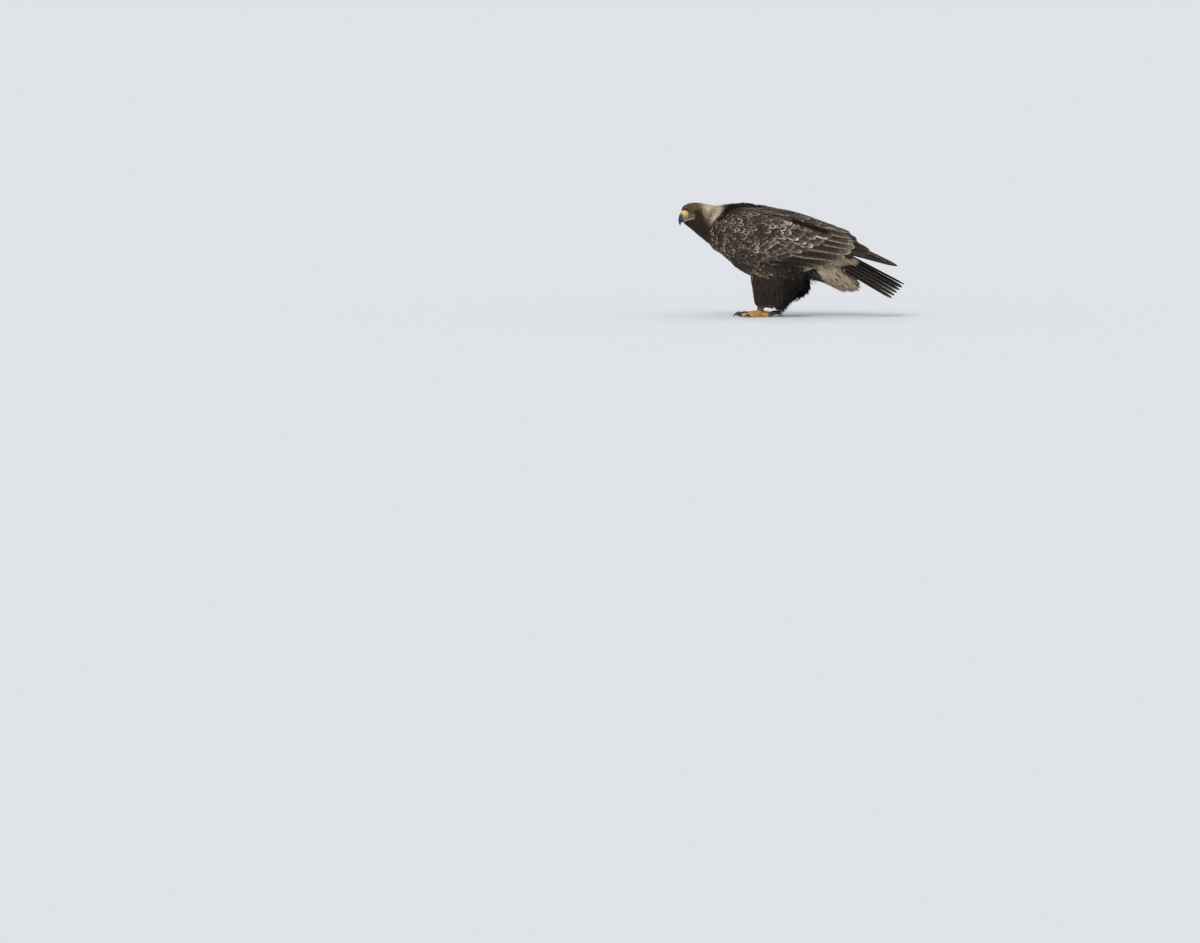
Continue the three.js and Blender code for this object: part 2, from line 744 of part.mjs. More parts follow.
function toeLoft(side, toe, out) {
  const rings = steps(0, 1, TOE_LENGTHS).map((share) => {
    const { centre, way, radius } = toeAt(side, toe, share);
    return rodRing(centre, way, radius + out, TOE_AROUND);
  });
  const { centre, way, radius } = toeAt(side, toe, 1);
  const tip = centre.clone().addScaledVector(way, TOE_END);
  rings.push(rodRing(tip, way, radius * TOE_END_NARROWS + out, TOE_AROUND));
  return loft(rings);
}

// The space above the floor, as a cutter for what rests on it.
function aboveFloor() {
  return solidOf(new THREE.BoxGeometry(PAST, PAST, PAST).translate(0, ANKLE.y, PAST / 2));
}

// The foot without claws: a palm under the ankle and four toes, flat where they meet the floor.
function footLoft(side, out = 0) {
  const palm = new THREE.SphereGeometry(PALM_RADIUS + out, 8, 5)
    .scale(1, PALM_LONG, PALM_HIGH)
    .translate(side * LEG_X, ANKLE.y + footStep(side), PALM_RADIUS * PALM_HIGH - SOLE_TRIM);
  let whole = solidOf(palm);
  for (const toe of TOES) whole = whole.add(solidOf(toeLoft(side, toe, out)));
  return geometryOf(whole.intersect(aboveFloor()));
}

// A claw: a tapered horn that leaves the toe's end upwards and curves down to the floor.
function claw(side, toe) {
  const end = toeAt(side, toe, 1);
  const start = end.centre.clone().addScaledVector(end.way, TOE_END + GAP);
  const rings = steps(0, 1, CLAW_LENGTHS).map((share) => {
    const along = toe.claw * Math.sin((share * Math.PI) / 2);
    const rise = Math.tan(CLAW_RISE) * along * (1 - share);
    const centre = start.clone().addScaledVector(end.way, along);
    centre.z += rise - start.z * share ** CLAW_HOOK;
    const radius = toe.clawRadius * (1 - share) ** CLAW_TAPER + CLAW_TIP_RADIUS * share;
    const tilt = THREE.MathUtils.lerp(CLAW_RISE, CLAW_END_DIVE, share);
    const way = end.way.clone().multiplyScalar(Math.cos(tilt)).setZ(Math.sin(tilt));
    return rodRing(centre, share === 0 ? end.way : way, radius, CLAW_AROUND);
  });
  return geometryOf(solidOf(loft(rings)).intersect(aboveFloor()));
}

const eagle = new THREE.Group();

function addPart(name, geometry, colour, roughness = 0.85) {
  geometry.computeVertexNormals();
  const material = new THREE.MeshStandardMaterial({ color: colour, roughness, metalness: 0 });
  const mesh = new THREE.Mesh(geometry, material);
  mesh.name = name;
  eagle.add(mesh);
}

addPart("head", head(), COLOURS.crown);
addPart("bill_upper", upperBill(), COLOURS.bill, 0.4);
addPart("bill_lower", lowerBill(), COLOURS.bill, 0.4);
addPart("neck", neckLoft(), COLOURS.breast);
addPart("trunk", trunk(), COLOURS.dark);
addPart("rump", rump(), COLOURS.dark);
addPart("undertail", undertail(), COLOURS.vent);
addPart("tail", tail(), COLOURS.tail);
for (const [side, word] of [[1, "left"], [-1, "right"]]) {
  addPart(`eye_${word}`, eye(side), COLOURS.eye, 0.1);
  addPart(`wing_${word}`, foldedWing(side), COLOURS.wing);
  addPart(`thigh_${word}`, trousers(side), COLOURS.trousers);
  addPart(`tarsus_${word}`, tarsus(side), COLOURS.tarsus);
  addPart(`foot_${word}`, footLoft(side), COLOURS.foot, 0.6);
  for (const toe of TOES) {
    addPart(`claw_${toe.name}_${word}`, claw(side, toe), COLOURS.claw, 0.3);
  }
}

export default eagle;
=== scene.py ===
import math

import bmesh
import bpy
import numpy as np
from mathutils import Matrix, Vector
from mathutils.bvhtree import BVHTree
from mathutils.kdtree import KDTree


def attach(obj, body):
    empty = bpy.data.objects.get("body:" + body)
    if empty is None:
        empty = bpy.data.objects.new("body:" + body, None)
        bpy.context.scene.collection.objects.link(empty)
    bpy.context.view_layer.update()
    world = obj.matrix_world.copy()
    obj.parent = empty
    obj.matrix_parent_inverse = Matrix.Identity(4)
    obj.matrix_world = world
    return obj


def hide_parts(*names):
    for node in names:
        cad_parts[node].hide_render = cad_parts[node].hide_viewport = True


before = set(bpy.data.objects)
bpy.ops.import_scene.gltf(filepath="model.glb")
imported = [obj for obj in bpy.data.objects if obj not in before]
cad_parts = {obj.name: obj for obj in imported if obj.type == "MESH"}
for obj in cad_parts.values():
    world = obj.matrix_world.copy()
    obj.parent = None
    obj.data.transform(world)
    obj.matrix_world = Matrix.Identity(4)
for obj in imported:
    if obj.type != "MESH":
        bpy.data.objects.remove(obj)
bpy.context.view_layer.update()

# A golden eagle, covered in feathers that are laid vane by vane over one skin.
# Sizes are in millimetres until a mesh is made, when MM turns them into metres.
MM = 0.001
LEFT, RIGHT = 1, -1
SIDES = ((LEFT, "left"), (RIGHT, "right"))

# The photograph's scale and frame, and where the camera stands.
PHOTO_SIZE = (1200, 943)
PIXEL = 3.3
ZERO_PIXEL = (791.5, 316)
CAMERA_DISTANCE = 30000
CAMERA_ELEVATION = math.radians(4)
CAMERA_REACH = 2000000
SENSOR = 36

# The floor, the sky and the lamp.
FLOOR_HALF = 500000
FLOOR_COLOUR = (0.7485, 0.76, 0.7748, 1)
SKY_COLOUR = (0.93, 0.96, 1.0, 1)
SKY_STRENGTH = 0.8
LAMP_ENERGY = 1.0
LAMP_COLOUR = (1.0, 0.97, 0.93)
LAMP_WAY = (-0.8, 0.45, -1.15)
LAMP_SPREAD = math.radians(35)

# The neck turns the head to the left between these two places along the body.
HEAD_TURN = math.radians(44)
TURN_STARTS = -245
TURN_ENDS = -318
TURN_STEPS = 24

# The middle height of the body along its length, and about how big round it is there.
BODY_PLACES = [-388, -354, -318, -278, -235, -200, -125, -60, 0, 60, 120, 170, 204]
BODY_MIDDLES = [338, 344, 331, 312, 290, 275, 260, 257, 253, 245, 235, 226, 212]
BODY_RADII = [14, 33, 44, 58, 75, 92, 112, 113, 108, 96, 78, 62, 48]

# Outline of the folded wing in side view.
WING_PLACES = [-276, -262, -246, -207, -155, -110, -60, 0, 60, 113, 160, 184, 206, 226, 266, 300, 332, 348.5]
WING_TOPS = [286, 316, 328, 348, 366, 369, 366, 356, 338, 318, 299, 281, 243, 219, 207, 197, 183, 169]
WING_LOWS = [264, 229, 218, 203, 187, 171, 165, 171, 163, 175, 185, 188, 188.5, 188, 186, 177, 169.5, 163]

# Colours in life, as plain 0 to 255 values, besides the painted shade of the lower cere and of the nostrils.
DARK = (60, 51, 47)
BROWN_EDGE = (116, 98, 84)
WORN_EDGE = (234, 224, 206)
NAPE = (255, 246, 226)
NAPE_BASE = (222, 192, 152)
CROWN = (98, 79, 60)
CROWN_EDGE = (188, 160, 124)
CHEEK = (60, 51, 46)
LORES = (124, 114, 100)
MANTLE = (56, 48, 44)
COVERT = (84, 66, 54)
COVERT_EDGE = (238, 218, 188)
SECONDARY = (44, 37, 34)
TERTIAL = (70, 57, 49)
PRIMARY = (42, 37, 35)
FLIGHT_EDGE = (142, 122, 100)
VENT = (150, 126, 102)
VENT_EDGE = (216, 198, 170)
FLANK = (80, 64, 52)
FLANK_EDGE = (184, 162, 134)
TROUSERS = (56, 48, 46)
TROUSERS_EDGE = (92, 77, 66)
TARSUS = (112, 88, 62)
TAIL = (54, 47, 44)
TAIL_EDGE = (112, 100, 90)
TOE = (208, 156, 78)
TOE_CREASE = (132, 92, 50)
CLAW = (20, 20, 22)
CERE = (232, 194, 66)
# The cere's lower side: its yellow greyed by painted shade.
SHADED_CERE = (158, 146, 116)
GAPE = (216, 152, 74)
# Painted shade inside the nostril holes.
NOSTRIL_SHADE = (34, 28, 22)
BILL_BASE = (96, 104, 116)
BILL_TIP = (20, 20, 23)
IRIS = (100, 60, 22)
IRIS_RIM = (46, 26, 12)
PUPIL = (5, 5, 6)
LID = (48, 42, 37)


def linear(colour):
    """A 0 to 255 colour as the linear values that a mesh attribute holds."""
    share = np.asarray(colour, float) / 255
    return np.where(share <= 0.04045, share / 12.92, ((share + 0.055) / 1.055) ** 2.4)


def smooth(value, start, end):
    """0 before start, 1 past end, and an even turn between them."""
    share = np.clip((np.asarray(value, float) - start) / (end - start), 0, 1)
    return share * share * (3 - 2 * share)


def towards(values, target, share):
    """Numbers or rows of them, moved towards a target by a share of the way."""
    share = np.asarray(share, float)
    if np.ndim(values) > share.ndim:
        share = share[..., None]
    return values + (target - values) * share


def mixed_colours(first, second, share):
    """Linear colours between two, by a share at each place."""
    return towards(np.broadcast_to(linear(first), (*np.shape(share), 3)), linear(second), share)


def unit(vectors):
    """Vectors made one long."""
    size = np.linalg.norm(vectors, axis=-1, keepdims=True)
    return vectors / np.maximum(size, 1e-9)


def dot(first, second):
    """Dot products of rows, kept as a column."""
    return (first * second).sum(axis=-1, keepdims=True)


def points_of(x, y, z):
    """Points or directions from their three parts, numbers or arrays."""
    return np.stack(np.broadcast_arrays(x, y, z), axis=-1).astype(float)


def circle(count):
    """Angles evenly round a circle."""
    return 2 * math.pi * np.arange(count) / count


def chain(count):
    """The edges of a line of points."""
    return np.stack([np.arange(count - 1), np.arange(1, count)], axis=1)


def of_photo(points):
    """Pixels of the photograph as distances along the body and heights."""
    points = np.asarray(points, float)
    return (points - ZERO_PIXEL) * [PIXEL, -PIXEL]


def on_path(path, share):
    """Places on a path of points: share is 0 at its first point and 1 at its last."""
    places = np.linspace(0, 1, len(path))
    return np.stack([np.interp(share, places, column) for column in np.asarray(path).T], axis=-1)


def between_lines(first, second, share, reach):
    """Places on two lines of photograph points, and by reach on the way from one to the other."""
    return on_path(of_photo(first), share) * (1 - reach) + on_path(of_photo(second), share) * reach


def curve_through(places, values, at):
    """A smooth curve through values, read at some places, that doesn't overshoot."""
    places, values = np.asarray(places, float), np.asarray(values, float)
    slopes = np.diff(values) / np.diff(places)
    product = 2 * slopes[:-1] * slopes[1:]
    total = np.where(product > 0, slopes[:-1] + slopes[1:], 1)
    inner = np.where(product > 0, product / total, 0)
    tangents = np.concatenate([slopes[:1], inner, slopes[-1:]])
    i = np.clip(np.searchsorted(places, at) - 1, 0, len(slopes) - 1)
    span = places[i + 1] - places[i]
    share = (at - places[i]) / span
    rise = values[i + 1] - values[i]
    leaving = tangents[i] * span
    arriving = tangents[i + 1] * span
    turn = 3 * rise - 2 * leaving - arriving
    return values[i] + share * (leaving + share * (turn + share * (leaving + arriving - 2 * rise)))


def wing_low(y):
    """The height of the folded wing's lower edge at places along the body."""
    return np.interp(y, WING_PLACES, WING_LOWS)


def wing_top(y):
    """The height of the folded wing's upper edge at places along the body."""
    return np.interp(y, WING_PLACES, WING_TOPS)


# The turned neck


def turn_at(y):
    """How far the body has turned at a distance along it."""
    return HEAD_TURN * smooth(TURN_STARTS - np.asarray(y, float), 0, TURN_STARTS - TURN_ENDS)


def turned(points):
    """Points with the neck held straight, carried to where the turned neck puts them."""
    x, y, z = np.moveaxis(np.asarray(points, float), -1, 0)
    step = np.maximum(TURN_STARTS - y, 0) / TURN_STEPS
    middle_x = 0
    middle_y = np.maximum(y, TURN_STARTS)
    for i in range(TURN_STEPS):
        angle = turn_at(TURN_STARTS - (i + 0.5) * step)
        middle_x = middle_x + step * np.sin(angle)
        middle_y = middle_y - step * np.cos(angle)
    angle = turn_at(y)
    return points_of(middle_x + x * np.cos(angle), middle_y + x * np.sin(angle), z)


def turned_level(ways, angle):
    """Directions turned about the upright by an angle."""
    x, y, z = ways.T
    return points_of(x * np.cos(angle) - y * np.sin(angle), x * np.sin(angle) + y * np.cos(angle), z)


def turned_ways(ways, y):
    """Directions with the neck held straight, as the turned neck has them at y."""
    return turned_level(ways, turn_at(y))


def head_ways(ways):
    """Directions at the turned head as they would be with the neck straight."""
    return turned_level(ways, -HEAD_TURN)


def head_frame(points):
    """Points of the turned head as they would be with the neck straight."""
    return head_ways(points - turned([0, TURN_ENDS, 0])) + [0, TURN_ENDS, 0]


# Meshes and pieces


def add_object(name, data):
    """A new object in the scene."""
    made = bpy.data.objects.new(name, data)
    bpy.context.scene.collection.objects.link(made)
    return made


def add_piece(name, mesh, material, replaced=()):
    """A visible piece that rides with the body, and the nodes that it takes the place of."""
    mesh.materials.append(material)
    piece = add_object(name, mesh)
    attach(piece, "root")
    if replaced:
        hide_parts(*replaced)


def polygon_mesh(name, points, faces, smooth_faces=True):
    """A mesh from points in millimetres and lists of faces."""
    mesh = bpy.data.meshes.new(name)
    mesh.from_pydata((np.asarray(points) * MM).tolist(), [], faces)
    mesh.polygons.foreach_set("use_smooth", [smooth_faces] * len(mesh.polygons))
    mesh.update()
    return mesh


def add_colours(mesh, name, colours):
    """A colour for each vertex, as a named attribute."""
    if colours.shape[1] == 3:
        colours = np.concatenate([colours, np.ones((len(colours), 1))], axis=1)
    layer = mesh.color_attributes.new(name, "FLOAT_COLOR", "POINT")
    layer.data.foreach_set("color", colours.astype(np.float32).ravel())


def add_map(mesh, name, places):
    """A UV map from one place for each corner of the faces."""
    layer = mesh.uv_layers.new(name=name)
    layer.data.foreach_set("uv", places.astype(np.float32).ravel())


def read(rows, key, width, kind=float):
    """What a mesh's vertices or edges hold under a name, a row for each."""
    values = np.zeros(len(rows) * width, kind)
    rows.foreach_get(key, values)
    return values.reshape(-1, width)


def arrays_of(mesh):
    """A mesh's points in millimetres, its vertex normals and its edges."""
    edges = read(mesh.edges, "vertices", 2, np.int32)
    return read(mesh.vertices, "co", 3) / MM, read(mesh.vertices, "normal", 3), edges


def set_points(mesh, points):
    """Moves a mesh's vertices to points in millimetres."""
    mesh.vertices.foreach_set("co", (points * MM).astype(np.float32).ravel())
    mesh.update()


def relaxed(values, edges, rounds):
    """Values of vertices, evened out with their neighbours' some rounds."""
    first, second = edges.T
    size = len(values)
    count = np.maximum(np.bincount(edges.ravel(), minlength=size), 1)[:, None]
    for _ in range(rounds):
        totals = [
            np.bincount(first, column[second], size) + np.bincount(second, column[first], size)
            for column in values.T
        ]
        values = towards(values, np.stack(totals, axis=1) / count, 0.5)
    return values


def tube_corners(rings, around, closed=False):
    """Corners of a tube's quads and of its two ends, each as the numbers of its ring and column."""
    ring, column = np.indices((rings if closed else rings - 1, around)).reshape(2, -1)
    quads = [[ring, column], [ring, column + 1], [ring + 1, column + 1], [ring + 1, column]]
    end = np.arange(around)
    ends = [[0 * end, end[::-1]], [0 * end + rings - 1, end]]
    return np.array(quads).transpose(2, 0, 1), np.array(ends).transpose(0, 2, 1)


def numbered(corners, rings, around):
    """The vertex numbers of a tube's corners."""
    return corners[..., 0] % rings * around + corners[..., 1] % around


# The body's outer surface, fused from the solids

FLESH = ["head", "neck", "trunk", "rump", "undertail"]
FLESH += [f"{part}_{word}" for part in ("wing", "thigh", "tarsus") for _, word in SIDES]
VOXEL = 3.0
MERGE_DISTANCE = 1e-6
FUSE_GROWTH = 0.4
WING_FLESH_END = 150
SMOOTH_ROUNDS = 14


def cut_wing(part):
    """Takes the thin rear end off a wing's solid."""
    bmesh.ops.bisect_plane(
        part, geom=part.verts[:] + part.edges[:] + part.faces[:],
        plane_co=(0, WING_FLESH_END * MM, 0), plane_no=(0, 1, 0), clear_outer=True,
    )
    bmesh.ops.holes_fill(part, edges=[edge for edge in part.edges if edge.is_boundary], sides=0)


def fused_body():
    """One closed mesh round all the solids of flesh, without the thin ends of the wings."""
    whole = bmesh.new()
    for name in FLESH:
        part = bmesh.new()
        part.from_mesh(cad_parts[name].data)
        bmesh.ops.remove_doubles(part, verts=part.verts, dist=MERGE_DISTANCE)
        bmesh.ops.recalc_face_normals(part, faces=part.faces)
        if name.startswith("wing"):
            cut_wing(part)
        part.normal_update()
        for vertex in part.verts:
            vertex.co += vertex.normal * FUSE_GROWTH * MM
        copy = bpy.data.meshes.new("part_copy")
        part.to_mesh(copy)
        part.free()
        whole.from_mesh(copy)
        bpy.data.meshes.remove(copy)
    mesh = bpy.data.meshes.new("fused")
    whole.to_mesh(mesh)
    whole.free()
    holder = add_object("fused", mesh)
    remesh = holder.modifiers.new("remesh", "REMESH")
    remesh.mode = "VOXEL"
    remesh.voxel_size = VOXEL * MM
    remesh.adaptivity = 0
    graph = bpy.context.evaluated_depsgraph_get()
    result = bpy.data.meshes.new_from_object(holder.evaluated_get(graph))
    bpy.data.objects.remove(holder)
    return result


# The eye, the brow and the bill's base shape the outer surface of the head. All of these are with
# the neck straight.
EYE = np.array([21.6, -354.0, 347.5])
EYE_RADIUS = 9.2
EYE_WAY = np.array([0.906, -0.423, 0.02])
SOCKET_RADIUS = 13.5
SOCKET_FLAT = 9.5
SOCKET_HEIGHT = 6.1
BROW_START = np.array([15.0, -380.0, 351.0])
BROW_END = np.array([29.5, -332.0, 356.0])
BROW_RADIUS = 7.5
BROW_HEIGHT = 4.4
FACE_PLACES = [-392, -384, -379.5, -375, -366, -356]
FACE_HALF_WIDTHS = [5, 7.5, 10.5, 17, 24, 34]
FACE_MIDDLE = 335


def from_stroke(points, first, last):
    """How far points are from the straight stroke between two places."""
    way = last - first
    share = np.clip(((points - first) @ way) / (way @ way), 0, 1)
    return np.linalg.norm(points - first - share[:, None] * way, axis=1)


def sculpt_head(points, normals):
    """Brow ridges pushed out, the face narrowed to the bill, and flat rims laid round the eyes."""
    local = head_frame(points)
    push = np.zeros(len(points))
    for side, _ in SIDES:
        from_brow = from_stroke(local * [side, 1, 1], BROW_START, BROW_END)
        push += BROW_HEIGHT * smooth(-from_brow, -BROW_RADIUS, 0)
    in_head = local[:, 1] < TURN_ENDS
    moved = points + normals * (push * in_head)[:, None]
    local = head_frame(moved)
    limit = np.interp(local[:, 1], FACE_PLACES, FACE_HALF_WIDTHS)
    limit *= 1 - 0.45 * smooth(local[:, 2], 342, 350) * smooth(-local[:, 1], 374, 379)
    narrowed = np.sign(local[:, 0]) * np.minimum(np.abs(local[:, 0]), limit)
    share = smooth(-np.abs(local[:, 2] - FACE_MIDDLE), -36, -12) * smooth(-local[:, 1], 352, 360)
    local[:, 0] = towards(local[:, 0], narrowed, share)
    for side, _ in SIDES:
        look = EYE_WAY * [side, 1, 1]
        height = (local - EYE * [side, 1, 1]) @ look
        from_eye = np.hypot(local[:, 1] - EYE[1], local[:, 2] - EYE[2])
        share = (local[:, 0] * side > 0) * smooth(-from_eye, -SOCKET_RADIUS, -SOCKET_FLAT)
        local += (share * (SOCKET_HEIGHT - height))[:, None] * look
    return np.where(in_head[:, None], turned(np.minimum(local, [99, TURN_ENDS, 999])), moved)


def straight_place(points):
    """About how far along the body points are, counted with the neck straight."""
    nearer = np.minimum(head_frame(points)[:, 1], points[:, 1])
    return towards(points[:, 1], nearer, smooth(-points[:, 1], 235, 300))


# How far out the rays towards the surface start: round the body's middle line, to the side of the
# whole bird, to the side of the face, in front of it, and round a leg.
ROUND_START = 160
SIDE_START = 300
FACE_START = 60
FRONT_START = -430
LEG_START = 60

# How deep the feathers are over the skin, by region.
BODY_DEPTH = 7.0
NECK_DEPTH = 6.5
CROWN_DEPTH = 3.5
FACE_DEPTH = 2.0
WING_DEPTH = 4.0
LEG_DEPTH = 9.0
FRINGE_DEPTH = 14.0
TARSUS_DEPTH = 2.5


def coat_depths(points):
    """The coat's depth at points of the outer surface."""
    along = straight_place(points)
    x, y, z = points.T
    depths = np.full(len(points), BODY_DEPTH)
    for depth, share in (
        (NECK_DEPTH, smooth(-along, 200, 250)),
        (CROWN_DEPTH, smooth(-along, 280, 320)),
        (FACE_DEPTH, smooth(-along, 330, 352)),
        (WING_DEPTH, smooth(z, 180, 200) * smooth(np.abs(x), 30, 50) * smooth(y, -250, -225)),
        (LEG_DEPTH, smooth(-z, -135, -110) * smooth(-y, -75, -60)),
        (FRINGE_DEPTH, smooth(-z, -150, -120) * smooth(y, -70, -20) * smooth(-y, -70, -50)),
        (TARSUS_DEPTH, smooth(-z, -48, -30) * smooth(-y, 60, 75)),
    ):
        depths = towards(depths, depth, share)
    return depths


class Surface:
    """The outer surface of the coat: it answers for the nearest place on it, its way out and the
    coat's depth there, and for what a ray from outside meets first."""

    def __init__(self):
        self.mesh = fused_body()
        points, _, edges = arrays_of(self.mesh)
        set_points(self.mesh, relaxed(points, edges, SMOOTH_ROUNDS))
        points, normals, _ = arrays_of(self.mesh)
        set_points(self.mesh, relaxed(sculpt_head(points, normals), edges, 1))
        self.points, self.normals, self.edges = arrays_of(self.mesh)
        self.normals = unit(relaxed(self.normals, self.edges, 3))
        self.depths = relaxed(coat_depths(self.points)[:, None], self.edges, 12)[:, 0]
        self.tree = KDTree(len(self.points))
        for i, point in enumerate(self.points.tolist()):
            self.tree.insert(point, i)
        self.tree.balance()
        faces = [tuple(face.vertices) for face in self.mesh.polygons]
        self.shell = BVHTree.FromPolygons(self.points.tolist(), faces)

    def nearest(self, points):
        """The places on the surface beside points, the ways out there and the coat's depths."""
        found = np.array([self.tree.find(point)[1] for point in points.tolist()])
        normals = self.normals[found]
        out = dot(points - self.points[found], normals)
        return points - normals * out, normals, self.depths[found]

    def rays(self, starts, ways):
        """Where rays meet the surface, and which of them do."""
        found = [self.shell.ray_cast(start, way)[0] for start, way in zip(starts.tolist(), ways.tolist())]
        places = np.array([(0, 0, 0) if place is None else place for place in found], float)
        return places, np.array([place is not None for place in found])


surface = Surface()


# Materials

# Here the depth of a relief is in metres, and the scale of a cloudy pattern is for each metre.
COAT_ROUGHNESS = 0.08
FINE_RELIEF = 0.0006


class Shader:
    """A material's nodes, made by short calls whose inputs are sockets or numbers."""

    def __init__(self, name, roughness, specular, coat=0.0):
        self.material = bpy.data.materials.new(name)
        self.material.use_nodes = True
        self.tree = self.material.node_tree
        self.inputs = self.tree.nodes["Principled BSDF"].inputs
        self.inputs["Roughness"].default_value = roughness
        self.inputs["Specular IOR Level"].default_value = specular
        self.inputs["Coat Weight"].default_value = coat
        self.inputs["Coat Roughness"].default_value = COAT_ROUGHNESS

    def node(self, kind, inputs, **settings):
        """The outputs of a new node, its inputs given by name or number."""
        made = self.tree.nodes.new("ShaderNode" + kind)
        for key, value in settings.items():
            setattr(made, key, value)
        for key, value in inputs.items():
            if hasattr(value, "links"):
                self.tree.links.new(value, made.inputs[key])
            else:
                made.inputs[key].default_value = value
        return made.outputs

    def maths(self, operation, first, second=0.0, clamp=False):
        """The result of one sum, clamped to 0 to 1 if asked."""
        return self.node("Math", {0: first, 1: second}, operation=operation, use_clamp=clamp)[0]

    def plus(self, first, second, clamp=False):
        """One number added to another."""
        return self.maths("ADD", first, second, clamp)

    def minus(self, first, second, clamp=False):
        """One number less another."""
        return self.maths("SUBTRACT", first, second, clamp)

    def times(self, first, second, clamp=False):
        """One number times another."""
        return self.maths("MULTIPLY", first, second, clamp)

    def attribute(self, name):
        """The outputs of one of the mesh's colour attributes."""
        return self.node("Attribute", {}, attribute_name=name)

    def noise(self, scale, detail):
        """A cloudy pattern from 0 to 1 through the piece."""
        place = self.node("NewGeometry", {})["Position"]
        inputs = {"Vector": place, "Scale": scale, "Detail": detail}
        return self.node("TexNoise", inputs, noise_dimensions="3D")["Fac"]

    def shaded(self, colour, level):
        """A colour made darker or lighter by a number near 1."""
        return self.node("VectorMath", {0: colour, "Scale": level}, operation="SCALE")[0]

    def finish(self, colour, height, strength, distance):
        """The material with its colour and its fine relief joined on."""
        relief = self.node("Bump", {"Strength": strength, "Distance": distance, "Height": height})[0]
        self.tree.links.new(colour, self.inputs["Base Color"])
        self.tree.links.new(relief, self.inputs["Normal"])
        return self.material


# The pattern on a vane: how many barbs lie along it, how they slant and waver, its dark bars, how far
# its edge wanders, and how strong each of these is.
FULL_TURN = 6.283
BARBS = 34
BARB_SLANT = 9
BARB_WAVER = 5
BARB_SHADE = 0.09
BARB_RELIEF = (0.35, 0.0004)
GRAIN_SCALE = 900
CLOUD_SCALE = 110
CLOUD_SHADE = 0.5
EDGE_WANDER = 0.16
EDGE_BREAKS = 1.6
SIDE_EDGE_POWER = 5
TIP_EDGE_POWER = 9
BAR_PACE = 52
BAR_WAVER = 9
BAR_SHARPNESS = 2.2
SHAFT_THINNESS = 14
SHAFT_SHADE = 0.3
VANE_LEVEL = 0.95
SHEEN = (0.03, 0.5)


def feather_material():
    """Vanes: each one's own colour, bars and pale edge, a shaft, fine barbs and their relief."""
    shader = Shader("feathers", 0.75, 0.1)
    plus, minus, times = shader.plus, shader.minus, shader.times
    base = shader.attribute("tint")
    pale = shader.attribute("pale")
    place = shader.node("SeparateXYZ", {0: shader.node("UVMap", {}, uv_map="vane")[0]})
    across = times(shader.maths("ABSOLUTE", minus(place[0], 0.5)), 2)
    along = place[1]
    grain = shader.noise(GRAIN_SCALE, 2)
    cloud = shader.noise(CLOUD_SCALE, 3)
    barb_place = minus(times(along, BARBS), times(across, BARB_SLANT))
    barbs = shader.maths("SINE", plus(times(barb_place, FULL_TURN), times(grain, BARB_WAVER)))
    ragged = plus(along, times(minus(cloud, 0.5), EDGE_WANDER))
    side_edge = shader.maths("POWER", across, SIDE_EDGE_POWER)
    tip_edge = shader.maths("POWER", ragged, TIP_EDGE_POWER)
    rim = shader.maths("MAXIMUM", side_edge, tip_edge)
    rim = times(rim, pale["Alpha"], clamp=True)
    rim = plus(rim, times(times(minus(cloud, 0.45), EDGE_BREAKS), rim), clamp=True)
    bars = shader.maths("SINE", plus(times(along, BAR_PACE), times(cloud, BAR_WAVER)))
    bars = minus(1, times(times(plus(bars, 0.2), BAR_SHARPNESS, clamp=True), base["Alpha"]))
    plain = shader.shaded(base["Color"], bars)
    colour = shader.node("Mix", {0: rim, 6: plain, 7: pale["Color"]}, data_type="RGBA", clamp_factor=True)[2]
    shaft = minus(1, times(across, SHAFT_THINNESS), clamp=True)
    level = plus(VANE_LEVEL, times(barbs, BARB_SHADE))
    level = plus(level, times(minus(cloud, 0.5), CLOUD_SHADE))
    level = minus(level, times(shaft, SHAFT_SHADE))
    shader.inputs["Sheen Weight"].default_value = SHEEN[0]
    shader.inputs["Sheen Roughness"].default_value = SHEEN[1]
    return shader.finish(shader.shaded(colour, level), barbs, *BARB_RELIEF)


def tinted_material(name, roughness, specular, coat, noise_scale, noise_share, relief):
    """A material that takes its colour from the tint attribute, with fine mottling and relief."""
    shader = Shader(name, roughness, specular, coat)
    noise = shader.noise(noise_scale, 4)
    level = shader.plus(shader.times(shader.minus(noise, 0.5), noise_share), 1)
    colour = shader.shaded(shader.attribute("tint")["Color"], level)
    return shader.finish(colour, noise, relief, FINE_RELIEF)


FEATHERS = feather_material()
SKIN = tinted_material("down", 0.9, 0.2, 0.0, 700, 0.5, 0.5)
HORN = tinted_material("horn", 0.28, 0.5, 0.3, 260, 0.25, 0.12)
CLAW_HORN = tinted_material("claw_horn", 0.2, 0.5, 0.5, 180, 0.3, 0.1)
SCALES = tinted_material("toe_scales", 0.5, 0.45, 0.1, 900, 0.35, 0.5)
EYE_WET = tinted_material("eye_wet", 0.06, 0.08, 0.15, 1200, 0.25, 0.0)
LID_SKIN = tinted_material("lid_skin", 0.6, 0.4, 0.0, 1500, 0.5, 0.6)


# Vanes


def outline(steps, root, broadest, bluntness, point=0.5, tip=0.07):
    """Places along a vane, closer together at its tip, and the share of its half width there."""
    places = np.sin(np.linspace(0, math.pi / 2, steps))
    shares = (root + (1 - root) * smooth(places, 0, broadest)) * (1 - places**bluntness) ** point
    return places, np.maximum(shares, tip)


OUTLINES = {
    "round": outline(9, 0.45, 0.5, 5),
    "leaf": outline(7, 0.4, 0.45, 3),
    "lance": outline(7, 0.45, 0.4, 1.9, 0.75),
    "loose": outline(7, 0.5, 0.3, 1.6, 0.7),
    "quill": outline(16, 0.55, 0.3, 9),
    "blade": outline(16, 0.9, 0.15, 3.2, 0.6),
    "strap": outline(14, 0.75, 0.3, 16),
}
NARROW = (-1, 0, 1)
BROAD = (-1, -0.5, 0, 0.5, 1)
PATCH = 0.003


